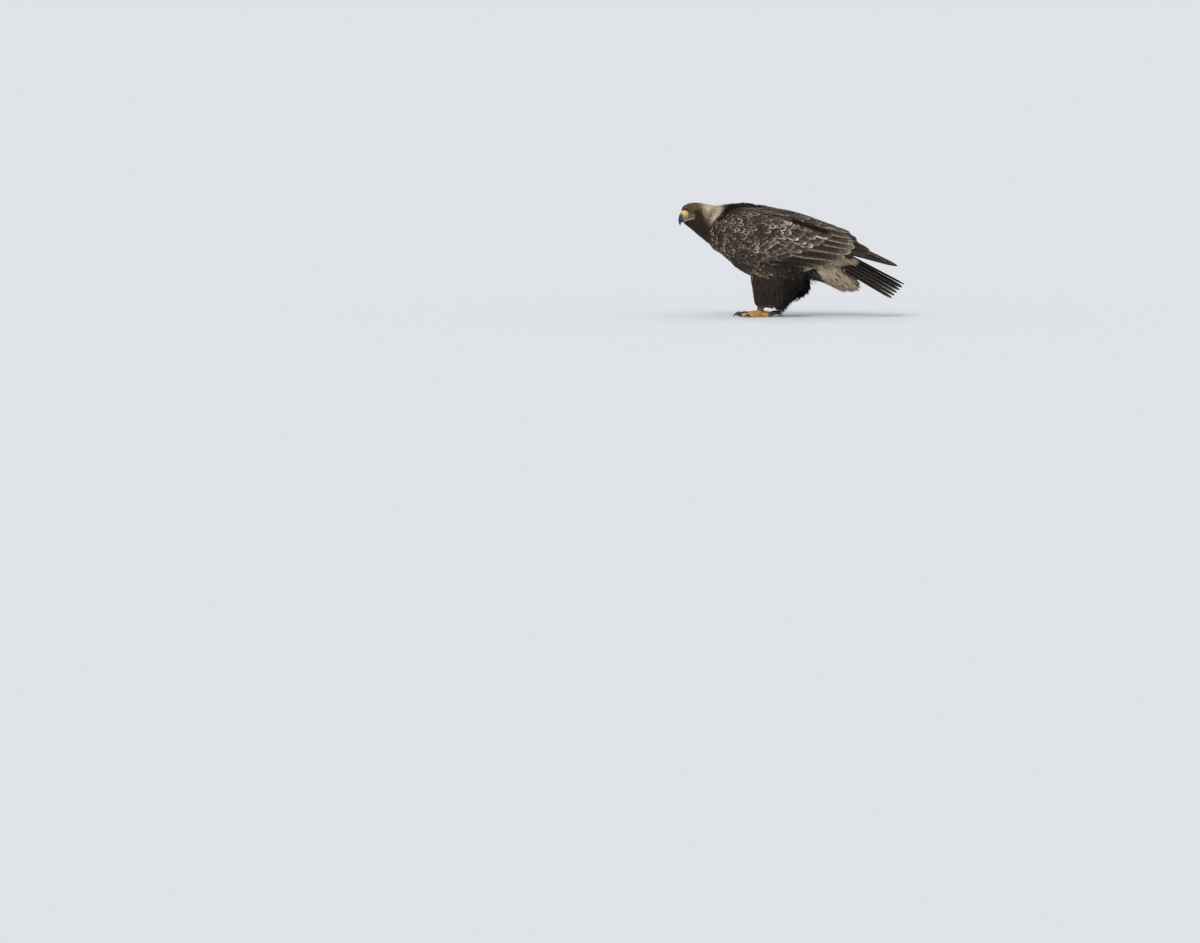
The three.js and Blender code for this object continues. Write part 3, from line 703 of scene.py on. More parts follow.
def vane_lines(roots, ways, lengths, places, follow):
    """The middle line of each vane: points on the outer surface, ways out, ways along, depths."""
    surf, normals, depths = surface.nearest(roots)
    follow = np.broadcast_to(follow, len(roots))[:, None]
    along = unit(ways - normals * dot(ways, normals))
    rows = [(surf, normals, along, depths)]
    for step in np.diff(places):
        ahead = surf + along * (lengths * step)[:, None]
        found, new_normals, new_depths = surface.nearest(ahead)
        surf = towards(ahead, found, follow)
        normals = unit(towards(normals, new_normals, follow))
        depths = towards(depths, new_depths, follow[:, 0])
        along = unit(ways - normals * dot(ways, normals))
        rows.append((surf, normals, along, depths))
    return [np.stack(values, axis=1) for values in zip(*rows)]


def shape_vanes(lines, outs, alongs, widths, shape, columns, rng, camber, roll, thick, fray):
    """The points of the vanes round their middle lines: a ring of columns over, one point under."""
    places, shares = OUTLINES[shape]
    sideways = unit(np.cross(outs, alongs))
    half = widths[:, None] / 2 * shares
    ragged = rng.uniform(-1, 0.5, (len(widths), len(places), 2)) * smooth(places, 0.2, 0.6)[:, None]
    rings = []
    for column in columns:
        edge = 1 + fray * ragged[:, :, int(column > 0)] if column else 1
        reach = half * edge * column
        drop = half * camber * column * column + abs(column) * thick * 0.4
        lift = half * roll * column - drop
        rings.append(lines + sideways * reach[:, :, None] + outs * lift[:, :, None])
    rings.append(lines - outs * thick * (1.15 - places)[None, :, None])
    return np.stack(rings, axis=2)


def batch_of(points, places, columns, tint, pale, strength, unwrap, bars=0.0, patch=(PATCH, PATCH)):
    """Points of vanes with what their vertices carry: colours, place on the vane, bake place."""
    shape = points.shape[:3]
    vane = np.zeros((*shape, 2))
    vane[..., 0] = 0.5 + np.array([*columns, 0.0]) / 2
    vane[..., 1] = places[None, :, None]
    bake = unwrap[:, None, None, :] + (vane - 0.5) * np.array(patch)
    batch = {"shape": shape, "points": points.reshape(-1, 3)}
    batch |= {"vane": vane.reshape(-1, 2), "bake": bake.reshape(-1, 2)}
    for key, colour, alpha in (("tint", tint, bars), ("pale", pale, strength)):
        row = np.concatenate([colour, np.broadcast_to(alpha, shape[0])[:, None]], axis=1)
        batch[key] = np.broadcast_to(row[:, None, None], (*shape, 4)).reshape(-1, 4)
    return batch


def vanes(roots, ways, lengths, widths, seed, shape="round", columns=NARROW, follow=1.0, sink=0.8,
          rise=0.9, proud=0.0, camber=0.12, roll=0.0, thick=0.5, fray=0.12, layer=0.0, **colours):
    """A batch of vanes whose roots sit in the skin and whose tips reach the outer surface."""
    rng = np.random.default_rng(seed)
    places = OUTLINES[shape][0]
    lines, outs, alongs, deep = vane_lines(roots, ways, lengths, places, follow)
    under = deep * (1 - np.power(places, rise)) + sink * (1 - places)
    proud = np.broadcast_to(proud, len(roots))[:, None] * places**2
    layer = np.broadcast_to(layer, len(roots))[:, None]
    lines = lines + outs * (proud + layer - under)[:, :, None]
    points = shape_vanes(lines, outs, alongs, widths, shape, columns, rng, camber, roll, thick, fray)
    return batch_of(points, places, columns, **colours)


def feather_piece(name, batches, replaced=()):
    """One joined mesh of vanes that rides with the body. The edges along a vane's sides are sharp."""
    start = 0
    loops, totals, sides = [], [], []
    for batch in batches:
        count, rings, around = batch["shape"]
        first = start + np.arange(count)[:, None, None] * rings * around
        quads, ends = (numbered(corners, rings, around) for corners in tube_corners(rings, around))
        loops += [(first + quads).ravel(), (first + ends).swapaxes(0, 1).ravel()]
        totals += [np.full(count * len(quads), 4), np.full(count * 2, around)]
        column = np.tile(np.arange(around), count * rings)
        sides.append(np.where(column == 0, 1, np.where(column == around - 2, 2, 0)))
        start += count * rings * around
    loops, totals, sides = (np.concatenate(values) for values in (loops, totals, sides))
    joined = {key: np.concatenate([batch[key] for batch in batches]) for key in batches[0] if key != "shape"}
    mesh = bpy.data.meshes.new(name)
    mesh.vertices.add(start)
    mesh.loops.add(len(loops))
    mesh.loops.foreach_set("vertex_index", loops.astype(np.int32))
    mesh.polygons.add(len(totals))
    starts = np.concatenate([[0], np.cumsum(totals)[:-1]])
    mesh.polygons.foreach_set("loop_start", starts.astype(np.int32))
    mesh.polygons.foreach_set("loop_total", totals.astype(np.int32))
    mesh.polygons.foreach_set("use_smooth", np.ones(len(totals), bool))
    mesh.vertices.foreach_set("co", (joined["points"] * MM).astype(np.float32).ravel())
    mesh.update(calc_edges=True)
    first, second = sides[read(mesh.edges, "vertices", 2, np.int32)].T
    sharp = (first > 0) & (first == second)
    mesh.attributes.new("sharp_edge", "BOOLEAN", "EDGE").data.foreach_set("value", sharp)
    add_colours(mesh, "tint", joined["tint"])
    add_colours(mesh, "pale", joined["pale"])
    add_map(mesh, "vane", joined["vane"][loops])
    add_map(mesh, "OFBake", joined["bake"][loops])
    add_piece(name, mesh, FEATHERS, replaced)


def tints(base, count, rng, spread=0.12):
    """A colour for each vane: the base made a little lighter, darker, warmer or cooler."""
    level = 1 + rng.uniform(-spread, spread, (count, 1)) * 1.6
    warm = rng.uniform(-0.05, 0.05, (count, 1)) * [1, 0, -1.2]
    return np.clip(linear(base) * (level + warm), 0, 1)


def blend_tints(first, second, share, rng, spread=0.12):
    """As tints, between two base colours by a share for each vane."""
    count = len(share)
    return towards(tints(first, count, rng, spread), tints(second, count, rng, spread), share)


def patchy(points, size, seed):
    """A number from 0 to 1 for each point, much the same for points closer than about a size."""
    rng = np.random.default_rng(seed)
    waves = rng.normal(0, 1.6 / size, (8, points.shape[1]))
    total = np.sin(points @ waves.T + rng.uniform(0, 2 * math.pi, 8)).mean(axis=1)
    return smooth(total, -0.35, 0.35)


def unwrapped(across, up):
    """A place on an unwrap from two shares of the way over it, clear of its rim."""
    return 0.02 + 0.96 * np.stack([across, up], axis=1)


def body_unwrap(along, angle):
    """A place on the unwrap of the body: along it, and round it from the belly."""
    return unwrapped((along + 400) / 780, ((angle / (2 * math.pi) + 0.25) % 1 + 1) % 1)


def body_rows(start, end, row_step, arc_step, low, high, seed):
    """Roots in rows round the body, from an angle low to high, 0 at the left side and up positive.
    row_step and arc_step are numbers, or functions of the place along the body."""
    rng = np.random.default_rng(seed)
    along, angles = [], []
    y = start
    row = 0
    while y < end:
        step = row_step(y) if callable(row_step) else row_step
        arc = arc_step(y) if callable(arc_step) else arc_step
        radius = np.interp(y, BODY_PLACES, BODY_RADII)
        count = max(2, int(round((high - low) * radius / arc)))
        place = low + (high - low) * (np.arange(count) + 0.25 + 0.5 * (row % 2)) / count
        angles.append(place + rng.uniform(-0.22, 0.22, count) * arc / radius)
        along.append(y + rng.uniform(-0.25, 0.25, count) * step)
        y += step
        row += 1
    along, angles = np.concatenate(along), np.concatenate(angles)
    centre = points_of(0, along, np.interp(along, BODY_PLACES, BODY_MIDDLES))
    way = points_of(np.cos(angles), 0, np.sin(angles))
    roots, hit = surface.rays(turned(centre + way * ROUND_START), turned_ways(-way, along))
    return picked(hit, roots, along, angles)


def under_wing(points, margin):
    """Which points lie behind the folded wing in side view, more than a margin from its upper edge."""
    x, y, z = points.T
    inside = (y > WING_PLACES[0] + margin) & (y < WING_FLESH_END - 10)
    return inside & (z > wing_low(y) - 2) & (z < wing_top(y) - margin) & (np.abs(x) > 25)


def picked(keep, *arrays):
    """The rows of some arrays that a mask keeps."""
    return [array[keep] for array in arrays]


# The skin

# How dark the skin is painted, as the shade of the coat over it.
SKIN_PAINTED_SHADE = 0.7


def build_skin():
    """One skin for all the flesh, under the feathers by the coat's depth."""
    mesh = surface.mesh.copy()
    mesh.name = "skin"
    points = surface.points - surface.normals * surface.depths[:, None]
    set_points(mesh, relaxed(points, surface.edges, 2))
    mesh.polygons.foreach_set("use_smooth", [True] * len(mesh.polygons))
    # The coat's markings, darkened with painted shade from the coat over the skin.
    add_colours(mesh, "tint", skin_colours(surface.points) * SKIN_PAINTED_SHADE)
    add_piece("skin", mesh, SKIN, FLESH)


def skin_colours(points):
    """The markings of the coat, as the skin under it has them."""
    along = straight_place(points)
    _, y, z = points.T
    from_lores = np.abs(head_frame(points)[:, 2] - 336)
    colours = np.tile(linear(DARK), (len(points), 1))
    for colour, share in (
        (NAPE_BASE, golden(along, z)),
        (LORES, smooth(-along, 352, 362) * smooth(-from_lores, -18, -12)),
        (VENT, smooth(y, 60, 90) * smooth(-z, -175, -160)),
        (TROUSERS, smooth(-z, -140, -110) * smooth(-y, -70, -40)),
        (TARSUS, smooth(-z, -50, -35)),
    ):
        colours = towards(colours, linear(colour), share)
    return colours


def golden(along, height):
    """How golden the coat is: the hind crown and the nape, down both sides behind the cheek."""
    starts = np.interp(height, [300, 345], [-322, -350])
    band = smooth(along - starts, 0, 30) * smooth(-along, 236, 262)
    return band * smooth(height, 298, 330)


# The coat of the head, neck and body

CERE_BACK = -377.5
CERE_HIGH = (318, 352)
FACE_ROWS = ((-384, -336), (318, 358))
FACE_SPACING = 2.1
EYE_GAP = 7.7
GAPE_LINE = np.array([
    [4.4, -391.5, 317.6], [6.4, -386.5, 318.8], [9.8, -380.5, 320.6], [14.6, -372, 323.6],
    [21, -360.5, 327.4], [24, -355.5, 328.8],
])
GAPE_CLEAR = 3.1
GAPE_SHORT = 6.5


def from_gape(local):
    """How far places of the straight neck's head are from the gape's line."""
    mirrored = points_of(np.abs(local[:, 0]), local[:, 1], local[:, 2])
    gaps = [from_stroke(mirrored, *pair) for pair in zip(GAPE_LINE[:-1], GAPE_LINE[1:])]
    return np.min(gaps, axis=0)


def head_roots(starts, way):
    """Where rays along one way meet the straight neck's head."""
    ways = turned_ways(np.tile(way, (len(starts), 1)), starts[:, 1])
    roots, hit = surface.rays(turned(starts), ways)
    return roots[hit]


def face_roots(seed):
    """Roots on both sides of the face, on an even grid in side view of the straight head."""
    rng = np.random.default_rng(seed)
    places = [np.arange(low, high, FACE_SPACING) for low, high in FACE_ROWS]
    y, z = (values.ravel() for values in np.meshgrid(*places))
    roots = []
    for side, _ in SIDES:
        starts = points_of(side * FACE_START, y, z)
        starts[:, 1:] += rng.uniform(-0.8, 0.8, (len(y), 2))
        roots.append(head_roots(starts, [-float(side), 0, 0]))
    return np.concatenate(roots)


def forehead_roots(seed):
    """Roots on the steep forehead over the bill, on an even grid seen from in front."""
    rng = np.random.default_rng(seed)
    places = np.arange(-14, 14, FACE_SPACING * 0.9), np.arange(351.5, 366, FACE_SPACING * 0.9)
    x, z = (values.ravel() for values in np.meshgrid(*places))
    starts = points_of(x, FRONT_START, z)
    starts[:, ::2] += rng.uniform(-0.7, 0.7, (len(x), 2))
    return head_roots(starts, [0, 1.0, 0])


def in_face(local):
    """Which places lie in the part of the face that face_roots covers."""
    x, y, z = local.T
    (back, front), (low, high) = FACE_ROWS
    return (np.abs(x) > 9) & (y > back) & (y < front) & (z > low) & (z < high)


def round_the_eye(local):
    """Ways back over the head that part before the eye and close behind it."""
    behind = local[:, 1] - EYE[1]
    above = local[:, 2] - EYE[2]
    bend = (EYE_GAP / np.maximum(behind * behind + above * above, EYE_GAP**2)) ** 2
    return unit(points_of(0, 1.05 - bend * (behind * behind - above * above), -2 * bend * behind * above))


def all_head_roots():
    """Roots of the head's coat, clear of the eyes, the bill and the gape."""
    def step(y):
        """How far apart the rows are: closest together on the face."""
        return 2.2 + 3.0 * float(smooth(y, -372, -300))

    rows = body_rows(-387, -298, step, lambda y: step(y) * 1.1, -math.pi, math.pi, 11)[0]
    grid = face_roots(14)
    front = forehead_roots(17)
    in_front = ~in_face(head_frame(front)) & (head_frame(front)[:, 1] < -366)
    rows = rows[~in_face(head_frame(rows))]
    roots = np.concatenate([rows, grid[in_face(head_frame(grid))], front[in_front]])
    _, y, z = head_frame(roots).T
    from_eye = np.hypot((y - EYE[1]) / 1.12, z - EYE[2]) + 1.4 * smooth(y - EYE[1], 1, 6)
    bill = (y < CERE_BACK) & (z > CERE_HIGH[0]) & (z < CERE_HIGH[1])
    faces_forward = (-head_ways(surface.nearest(roots)[1])[:, 1] > 0.97) & (z < 351)
    gape = from_gape(head_frame(roots)) < GAPE_CLEAR
    return roots[(from_eye > EYE_GAP) & ~bill & ~gape & ~faces_forward]


def head_coat():
    """Small vanes of the face and crown, growing towards the nape."""
    roots = all_head_roots()
    local = head_frame(roots)
    x, along, z = local.T
    count = len(roots)
    rng = np.random.default_rng(12)
    ways = round_the_eye(local)
    ways[:, 2] -= 0.06 + 0.7 * smooth(-z, -335, -300)
    ways[:, 2] += 1.6 * smooth(-along, 376, 385) * smooth(z, 345, 350)
    ways += rng.normal(0, 0.1, (count, 3))
    crown = smooth(z, 350, 360)
    gold = golden(along, roots[:, 2])
    lores = smooth(-along, 357, 366) * smooth(-np.abs(z - 336), -16, -10)
    # A band along the brow over the eye, painted dark as the brow's shade.
    painted_brow_shade = smooth(-np.abs(z - EYE[2] - 7), -5, -2) * smooth(-np.abs(along + 350), -26, -14)
    tint = blend_tints(CHEEK, CROWN, crown, rng)
    tint = towards(tint, tints(LORES, count, rng), lores)
    tint = towards(tint, tints(CHEEK, count, rng), painted_brow_shade)
    tint = towards(tint, blend_tints(NAPE_BASE, CROWN, 0.7 * patchy(roots, 14, 18), rng), gold)
    pale = blend_tints(BROWN_EDGE, CROWN_EDGE, crown, rng)
    pale = towards(pale, tints(NAPE, count, rng), gold)
    size = 2.0 + 3.8 * smooth(along, -378, -300)
    short = np.where(from_gape(local) < GAPE_SHORT, 0.62, 1)
    angles = np.arctan2(z - np.interp(along, BODY_PLACES, BODY_MIDDLES), x)
    return vanes(
        roots, turned_ways(ways, along), tint=tint, pale=pale,
        strength=(0.2 + 0.5 * crown + 0.5 * gold) * rng.uniform(0.4, 1, count),
        unwrap=body_unwrap(along, angles),
        lengths=size * (2.7 + 1.3 * crown * smooth(along, -378, -350)) * short, widths=size * 1.05,
        seed=13, shape="lance", sink=0.4, camber=0.2, thick=0.28, layer=0.6 * smooth(-along, 345, 360),
    )


# Rows of brow feathers: how far over the brow's line their roots are, and over the coat.
BROW_ROWS = ((-1.0, 2.9), (1.0, 2.3), (3.0, 1.4))
BROW_COUNT = 24


def brow_coat(side):
    """Rows of small stiff vanes along one brow that overhang the eye."""
    rng = np.random.default_rng(15)
    share = np.linspace(0.02, 0.9, BROW_COUNT)
    line = on_path([BROW_START, BROW_END], share)
    local = np.concatenate([
        line + [0, 0, rise] + rng.uniform(-0.4, 0.4, line.shape) for rise, _ in BROW_ROWS
    ])
    count = len(local)
    ways = points_of(0, 1, -0.1) + rng.normal(0, 0.06, (count, 3))
    return vanes(
        turned(local * [side, 1, 1]), turned_ways(ways, local[:, 1]),
        tint=blend_tints(CHEEK, CROWN, rng.uniform(0.3, 1, count), rng),
        pale=tints(CROWN_EDGE, count, rng),
        strength=rng.uniform(0.2, 0.8, count),
        unwrap=body_unwrap(local[:, 1], 0.5 * math.pi - side * rng.uniform(0.6, 0.8, count)),
        lengths=rng.uniform(8, 10, count), widths=rng.uniform(3.0, 3.8, count), seed=16,
        shape="lance", sink=2.5, rise=0.5, camber=0.15, roll=-0.3 * side, thick=0.3,
        layer=np.concatenate([layer * (1 - share**3) for _, layer in BROW_ROWS]),
    )


def neck_coat():
    """Hackles of the nape and neck, golden above and behind the cheek, brown below."""
    roots, along, angles = body_rows(-306, -192, 6.0, 4.2, -math.pi, math.pi, 21)
    roots, along, angles = picked(~under_wing(roots, 8), roots, along, angles)
    count = len(roots)
    rng = np.random.default_rng(22)
    ways = points_of(0, 1, -0.45 * smooth(-np.sin(angles), -0.9, 0.2)) + rng.normal(0, 0.07, (count, 3))
    gold = golden(along, roots[:, 2])
    low = smooth(-np.sin(angles), 0, 0.6)
    return vanes(
        roots, turned_ways(ways, along),
        tint=blend_tints(DARK, NAPE_BASE, gold * (0.45 + 0.55 * patchy(roots, 16, 24)), rng),
        pale=blend_tints(BROWN_EDGE, NAPE, gold, rng),
        strength=(0.2 + 1.3 * gold) * rng.uniform(0.4, 1, count),
        unwrap=body_unwrap(along, angles),
        lengths=rng.uniform(23, 30, count) + 5 * low, widths=rng.uniform(4.4, 6.2, count) + 2 * low,
        seed=23, shape="lance", camber=0.25, thick=0.45, proud=rng.uniform(-0.5, 1.2, count),
    )


def body_coat():
    """Vanes of the breast, belly, flanks, mantle and rump."""
    roots, along, angles = body_rows(-204, 200, 7.4, 7.6, -math.pi, math.pi, 31)
    x, y, z = roots.T
    back = smooth(np.sin(angles), 0.3, 0.8)
    vent = (along > 52) & (z < 200) & (back < 0.5)
    leg = (z < 138) & (along > -140)
    below = surface.nearest(roots)[1][:, 2] < -0.5
    wing_edge = below & (np.abs(z - wing_low(y)) < 14) & (np.abs(x) > 50)
    keep = ~under_wing(roots, 12) & ~vent & ~leg & ~wing_edge
    roots, along, angles, back = picked(keep, roots, along, angles, back)
    _, y, z = roots.T
    count = len(roots)
    rng = np.random.default_rng(32)
    ways = points_of(0, 1, -0.35 * (1 - back)) + rng.normal(0, 0.07, (count, 3))
    flank = smooth(along, -215, -170) * smooth(-along, 70, 100) * smooth(-z, -178, -160)
    breast = smooth(-np.sin(angles), 0.3, 0.8) * smooth(-along, 130, 165) * smooth(-z, -230, -208)
    lifted = np.where(z < wing_top(y) + 8, -1.5, 3 * back)
    tint = blend_tints(DARK, MANTLE, back, rng)
    tint = towards(tint, tints(FLANK, count, rng), flank)
    pale = blend_tints(BROWN_EDGE, COVERT_EDGE, back * rng.uniform(0, 0.8, count), rng)
    pale = towards(pale, tints(FLANK_EDGE, count, rng), flank)
    return vanes(
        roots, ways, tint=tint, pale=pale,
        strength=rng.uniform(0.15, 0.6, count) + 0.3 * flank,
        unwrap=body_unwrap(along, angles),
        lengths=rng.uniform(24, 31, count) + 16 * back + 12 * flank,
        widths=rng.uniform(11, 14, count) + 6 * back, seed=33, shape="leaf", camber=0.16,
        proud=rng.uniform(-0.6, 0.9, count) + lifted, layer=6 * breast,
    )


# Where the photograph shows whitish coverts under the tail.
VENT_STROKES = [((813, 263), (818, 271)), ((838, 268), (843, 276))]


def vent_coat():
    """Long loose coverts under the tail, tawny with pale streaks, their tips hanging down behind."""
    roots, along, angles = body_rows(48, 213, 8.0, 4.6, -math.pi, 0, 41)
    steep = surface.nearest(roots)[1][:, 1] > np.where(roots[:, 2] < 112, 0.52, 0.85)
    keep = (roots[:, 2] < 192) & ~under_wing(roots, 8) & ~steep
    roots, along, angles = picked(keep, roots, along, angles)
    count = len(roots)
    rng = np.random.default_rng(42)
    ways = points_of(0, 0.66 + 0.14 * smooth(along, 60, 200), -0.62) + rng.normal(0, 0.09, (count, 3))
    front = smooth(-along, -84, -58)
    tint = blend_tints(VENT, VENT_EDGE, rng.uniform(0, 1, count) * 0.4, rng)
    tint = towards(tint, tints(DARK, count, rng), front)
    tint = towards(tint, linear(WORN_EDGE), 0.6 * near_strokes(roots[:, 1:], VENT_STROKES, 12))
    pale = tints(VENT_EDGE, count, rng)
    pale = towards(pale, tints(BROWN_EDGE, count, rng), front)
    return vanes(
        roots, ways, tint=tint, pale=pale, strength=rng.uniform(0.3, 0.95, count),
        unwrap=body_unwrap(along, angles),
        lengths=rng.uniform(34, 52, count) * (1 - 0.35 * smooth(along, 172, 205)),
        widths=rng.uniform(9, 13, count), seed=43, shape="loose",
        follow=0.75 - 0.7 * smooth(along, 150, 185), camber=0.25,
        proud=rng.uniform(-0.5, 1.5, count), fray=0.25,
    )


def vent_fringe():
    """Thin loose tips that hang clear of the undertail coverts."""
    roots, along, angles = body_rows(96, 206, 6.0, 5.0, -0.85 * math.pi, -0.15 * math.pi, 44)
    keep = (roots[:, 2] < 165) & (surface.nearest(roots)[1][:, 1] < 0.3)
    roots, along, angles = picked(keep, roots, along, angles)
    count = len(roots)
    rng = np.random.default_rng(45)
    return vanes(
        roots, points_of(rng.normal(0, 0.1, count), rng.uniform(0.5, 0.9, count), -0.7),
        tint=blend_tints(VENT, VENT_EDGE, rng.uniform(0, 0.6, count), rng),
        pale=tints(VENT_EDGE, count, rng),
        strength=rng.uniform(0.2, 0.9, count),
        unwrap=body_unwrap(along, angles),
        lengths=rng.uniform(30, 50, count), widths=rng.uniform(5, 9, count), seed=46, shape="loose",
        follow=0.05, rise=0.7, camber=0.25, proud=rng.uniform(-2, 3, count), thick=0.4, fray=0.3,
    )


def rump_coat():
    """Long feathers that lead from the rump down over the root of the tail."""
    roots, along, angles = body_rows(118, 203, 9.0, 9.0, 0.17 * math.pi, 0.83 * math.pi, 51)
    count = len(roots)
    rng = np.random.default_rng(52)
    ways = points_of(0, 0.86, -0.3 - 0.2 * smooth(along, 130, 200)) + rng.normal(0, 0.05, (count, 3))
    return vanes(
        roots, ways,
        tint=blend_tints(MANTLE, DARK, rng.uniform(0, 1, count), rng),
        pale=tints(BROWN_EDGE, count, rng),
        strength=rng.uniform(0.3, 0.8, count),
        unwrap=body_unwrap(along, angles),
        lengths=rng.uniform(52, 66, count) + 6 * smooth(along, 170, 200),
        widths=rng.uniform(17, 22, count), seed=53, shape="leaf", follow=0.06, camber=0.2, rise=0.7,
        proud=rng.uniform(-0.5, 0.8, count),
    )


# The folded wings

# Lines of feather tips in the photograph, each from the top of the wing to its lower edge.
BEND_LINE = [(724, 213), (713, 222), (709, 233), (711, 246), (722, 253.5)]
MEDIAN_LINE = [(798, 219), (790, 229), (778, 241), (762, 249), (742, 256.5)]
GREATER_LINE = [(838, 226), (827, 239), (808, 248.5), (784, 256.5), (756, 262)]
SCAPULAR_TOP_LINE = [(731, 206.5), (765, 207.5), (795, 212.5), (826, 223)]
SCAPULAR_LOW_LINE = [(742, 215), (772, 219), (802, 226), (838, 236)]

# Where worn feathers show whitish edges, as pairs of photograph points.
WORN_STROKES = [
    ((786, 221), (783, 238)), ((777, 239), (776, 250)), ((793, 238), (824, 246)),
    ((757, 240), (758, 252)), ((765, 222), (778, 226)), ((712, 226), (718, 240)),
    ((733, 228), (750, 231)), ((740, 219), (744, 224)), ((788, 219.5), (797, 224)),
]
WORN_REACH = 8

# Where the coat is in deep shade: under the mantle's edge, and behind the scapulars.
SHADED_STROKES = [
    ((718, 218.5), (729, 207.5)), ((729, 207.5), (743, 204)), ((743, 204), (761, 204.8)),
    ((793, 220), (811, 226)), ((811, 226), (827, 231.5)),
]
SHADED_REACH = 10
SHADE = 0.85


def near_strokes(places, strokes, reach):
    """1 near any of some strokes of the photograph, and 0 further from them than a reach."""
    gaps = [from_stroke(places, *of_photo(stroke)) for stroke in strokes]
    return smooth(-np.min(gaps, axis=0), -reach, -reach / 2)


def in_shade(batches):
    """Batches with the deep shade of the coat's gaps laid over their own colours."""
    for batch in batches:
        share = near_strokes(batch["points"][:, 1:], SHADED_STROKES, SHADED_REACH)[:, None]
        batch["tint"] = batch["tint"] * (1 - SHADE * share * [1, 1, 1, 0])
        batch["pale"] = batch["pale"] * (1 - SHADE * share)
    return batches


def wing_unwrap(places):
    """A place on the unwrap of a wing's face, along it and up it."""
    return 0.03 + 0.94 * (places - [-290, 150]) / [660, 240]


def wing_front(z):
    """Where the folded wing begins at a height."""
    upper = np.interp(z, WING_TOPS[:5], WING_PLACES[:5])
    lower = np.interp(z, WING_LOWS[4::-1], WING_PLACES[4::-1])
    return np.maximum(upper, lower)


def shares_of(rng, count, start, spread=0.2):
    """Places in a row from 0 to 1, each a little astray."""
    return (np.arange(count) + start + rng.uniform(-spread, spread, count)) / count


def downward(angle):
    """Directions in side view, that many degrees below level towards the tail."""
    angle = np.radians(angle)
    return np.stack([np.cos(angle), -np.sin(angle)], axis=-1)


def level_ways(side, count):
    """Directions straight to one side, one for each of some rays."""
    return np.tile([float(side), 0, 0], (count, 1))


def laid_from_side(side, roots, tips, widths, seed, **settings):
    """Vanes between roots and tips in side view, laid on whatever the surface shows there."""
    found, hit = surface.rays(points_of(side * SIDE_START, *roots.T), level_ways(-side, len(roots)))
    ways = tips - roots
    lengths = np.linalg.norm(ways, axis=1)
    hit &= lengths > 0.8 * widths
    kept = {key: value[hit] if isinstance(value, np.ndarray) else value for key, value in settings.items()}
    found, ways, lengths, widths = picked(hit, found, points_of(0, *ways.T), lengths, widths)
    return vanes(found, unit(ways), lengths, widths, seed, roll=-0.1 * side, **kept)


def wing_vanes(side, rng, seed, tips, colours, age, palest, strength, slope, length, width, proud, **shape):
    """Vanes on a wing's face from their tips, with the worn ones. slope, length and width are each a
    value and how far it strays. strength is a function of how many vanes there are."""
    count = len(tips)
    tint = blend_tints(*colours, rng.uniform(0, 1, count) ** age, rng, 0.15)
    pale = blend_tints(BROWN_EDGE, COVERT_EDGE, rng.uniform(palest, 1, count), rng)
    strength = strength(count)
    white = near_strokes(tips, WORN_STROKES, WORN_REACH) * rng.uniform(0.5, 1, count)
    # Darker, with fainter pale edges, towards the wing's lower edge: partly the feathers' own darker colour,
    # partly painted shade.
    low = smooth(wing_low(tips[:, 0]) - tips[:, 1], -50, -24) * smooth(tips[:, 0], -220, -140)
    slopes = slope[0] + rng.normal(0, slope[1], count)
    lengths = length[0] + rng.uniform(-length[1], length[1], count)
    widths = width[0] + rng.uniform(-width[1], width[1], count)
    roots = tips - downward(slopes) * lengths[:, None]
    roots[:, 0] = np.maximum(roots[:, 0], wing_front(roots[:, 1]) + 1)
    return laid_from_side(
        side, roots, tips, widths, seed,
        tint=tint * (1 - 0.4 * low)[:, None],
        pale=towards(pale, linear(WORN_EDGE), white),
        strength=np.maximum(strength * (1 - 0.6 * low), 1.6 * white),
        unwrap=wing_unwrap(tips), proud=rng.uniform(*proud, count), **shape
    )


LESSER_ROWS = 17
SCAPULAR_ROWS = 5
SCAPULAR_COUNT = 15


def lesser_coverts(side):
    """Many small coverts from the bend of the wing back to the median coverts."""
    rng = np.random.default_rng(61 + side)
    fine = np.linspace(0, 1, 60)
    tips, reaches, shares = [], [], []
    for row in range(LESSER_ROWS):
        reach = (row / (LESSER_ROWS - 1)) ** 1.15
        line = between_lines(BEND_LINE, MEDIAN_LINE, fine, reach)
        arc = np.linalg.norm(np.diff(line, axis=0), axis=1).sum()
        share = shares_of(rng, int(arc / (7.0 + 4.5 * reach)), 0.3 + 0.4 * (row % 2))
        tips.append(on_path(line, share))
        reaches.append(np.full(len(share), reach))
        shares.append(share)
    tips, reaches, shares = (np.concatenate(values) for values in (tips, reaches, shares))
    tips += rng.uniform(-2.5, 2.5, tips.shape)

    def strength(count):
        """How far the pale edges show: faint on nearly half of the coverts."""
        dull = rng.uniform(0, 1, count) < 0.45
        return np.where(dull, 0.1, rng.uniform(0.6, 1.4, count)) * (0.3 + 0.7 * patchy(tips, 20, 64))

    return wing_vanes(
        side, rng, 62, tips, (DARK, COVERT), 2, 0.3, strength, (4 + 20 * shares, 8),
        (18 + 16 * reaches, 3), (10.5 + 6.5 * reaches, 2), (-0.4, 0.7), camber=0.07, layer=0.3,
        thick=0.35, fray=0.2,
    )


# Rows of larger coverts, the lowest layer first. Each has its way from the median line to the
# greater, how many there are, their length and width, the slopes at its top and lower end, its seed
# and where it starts.
COVERT_ROWS = [
    (1.3, 8, 90, 29, 16, 6, 93, 0.45),
    (1.0, 13, 84, 29, 26, 7, 81, 0.0),
    (0.68, 14, 72, 27, 29, 9, 84, 0.0),
    (0.36, 15, 60, 25, 29, 11, 87, 0.0),
    (0.08, 16, 48, 22, 25, 13, 90, 0.0),
]


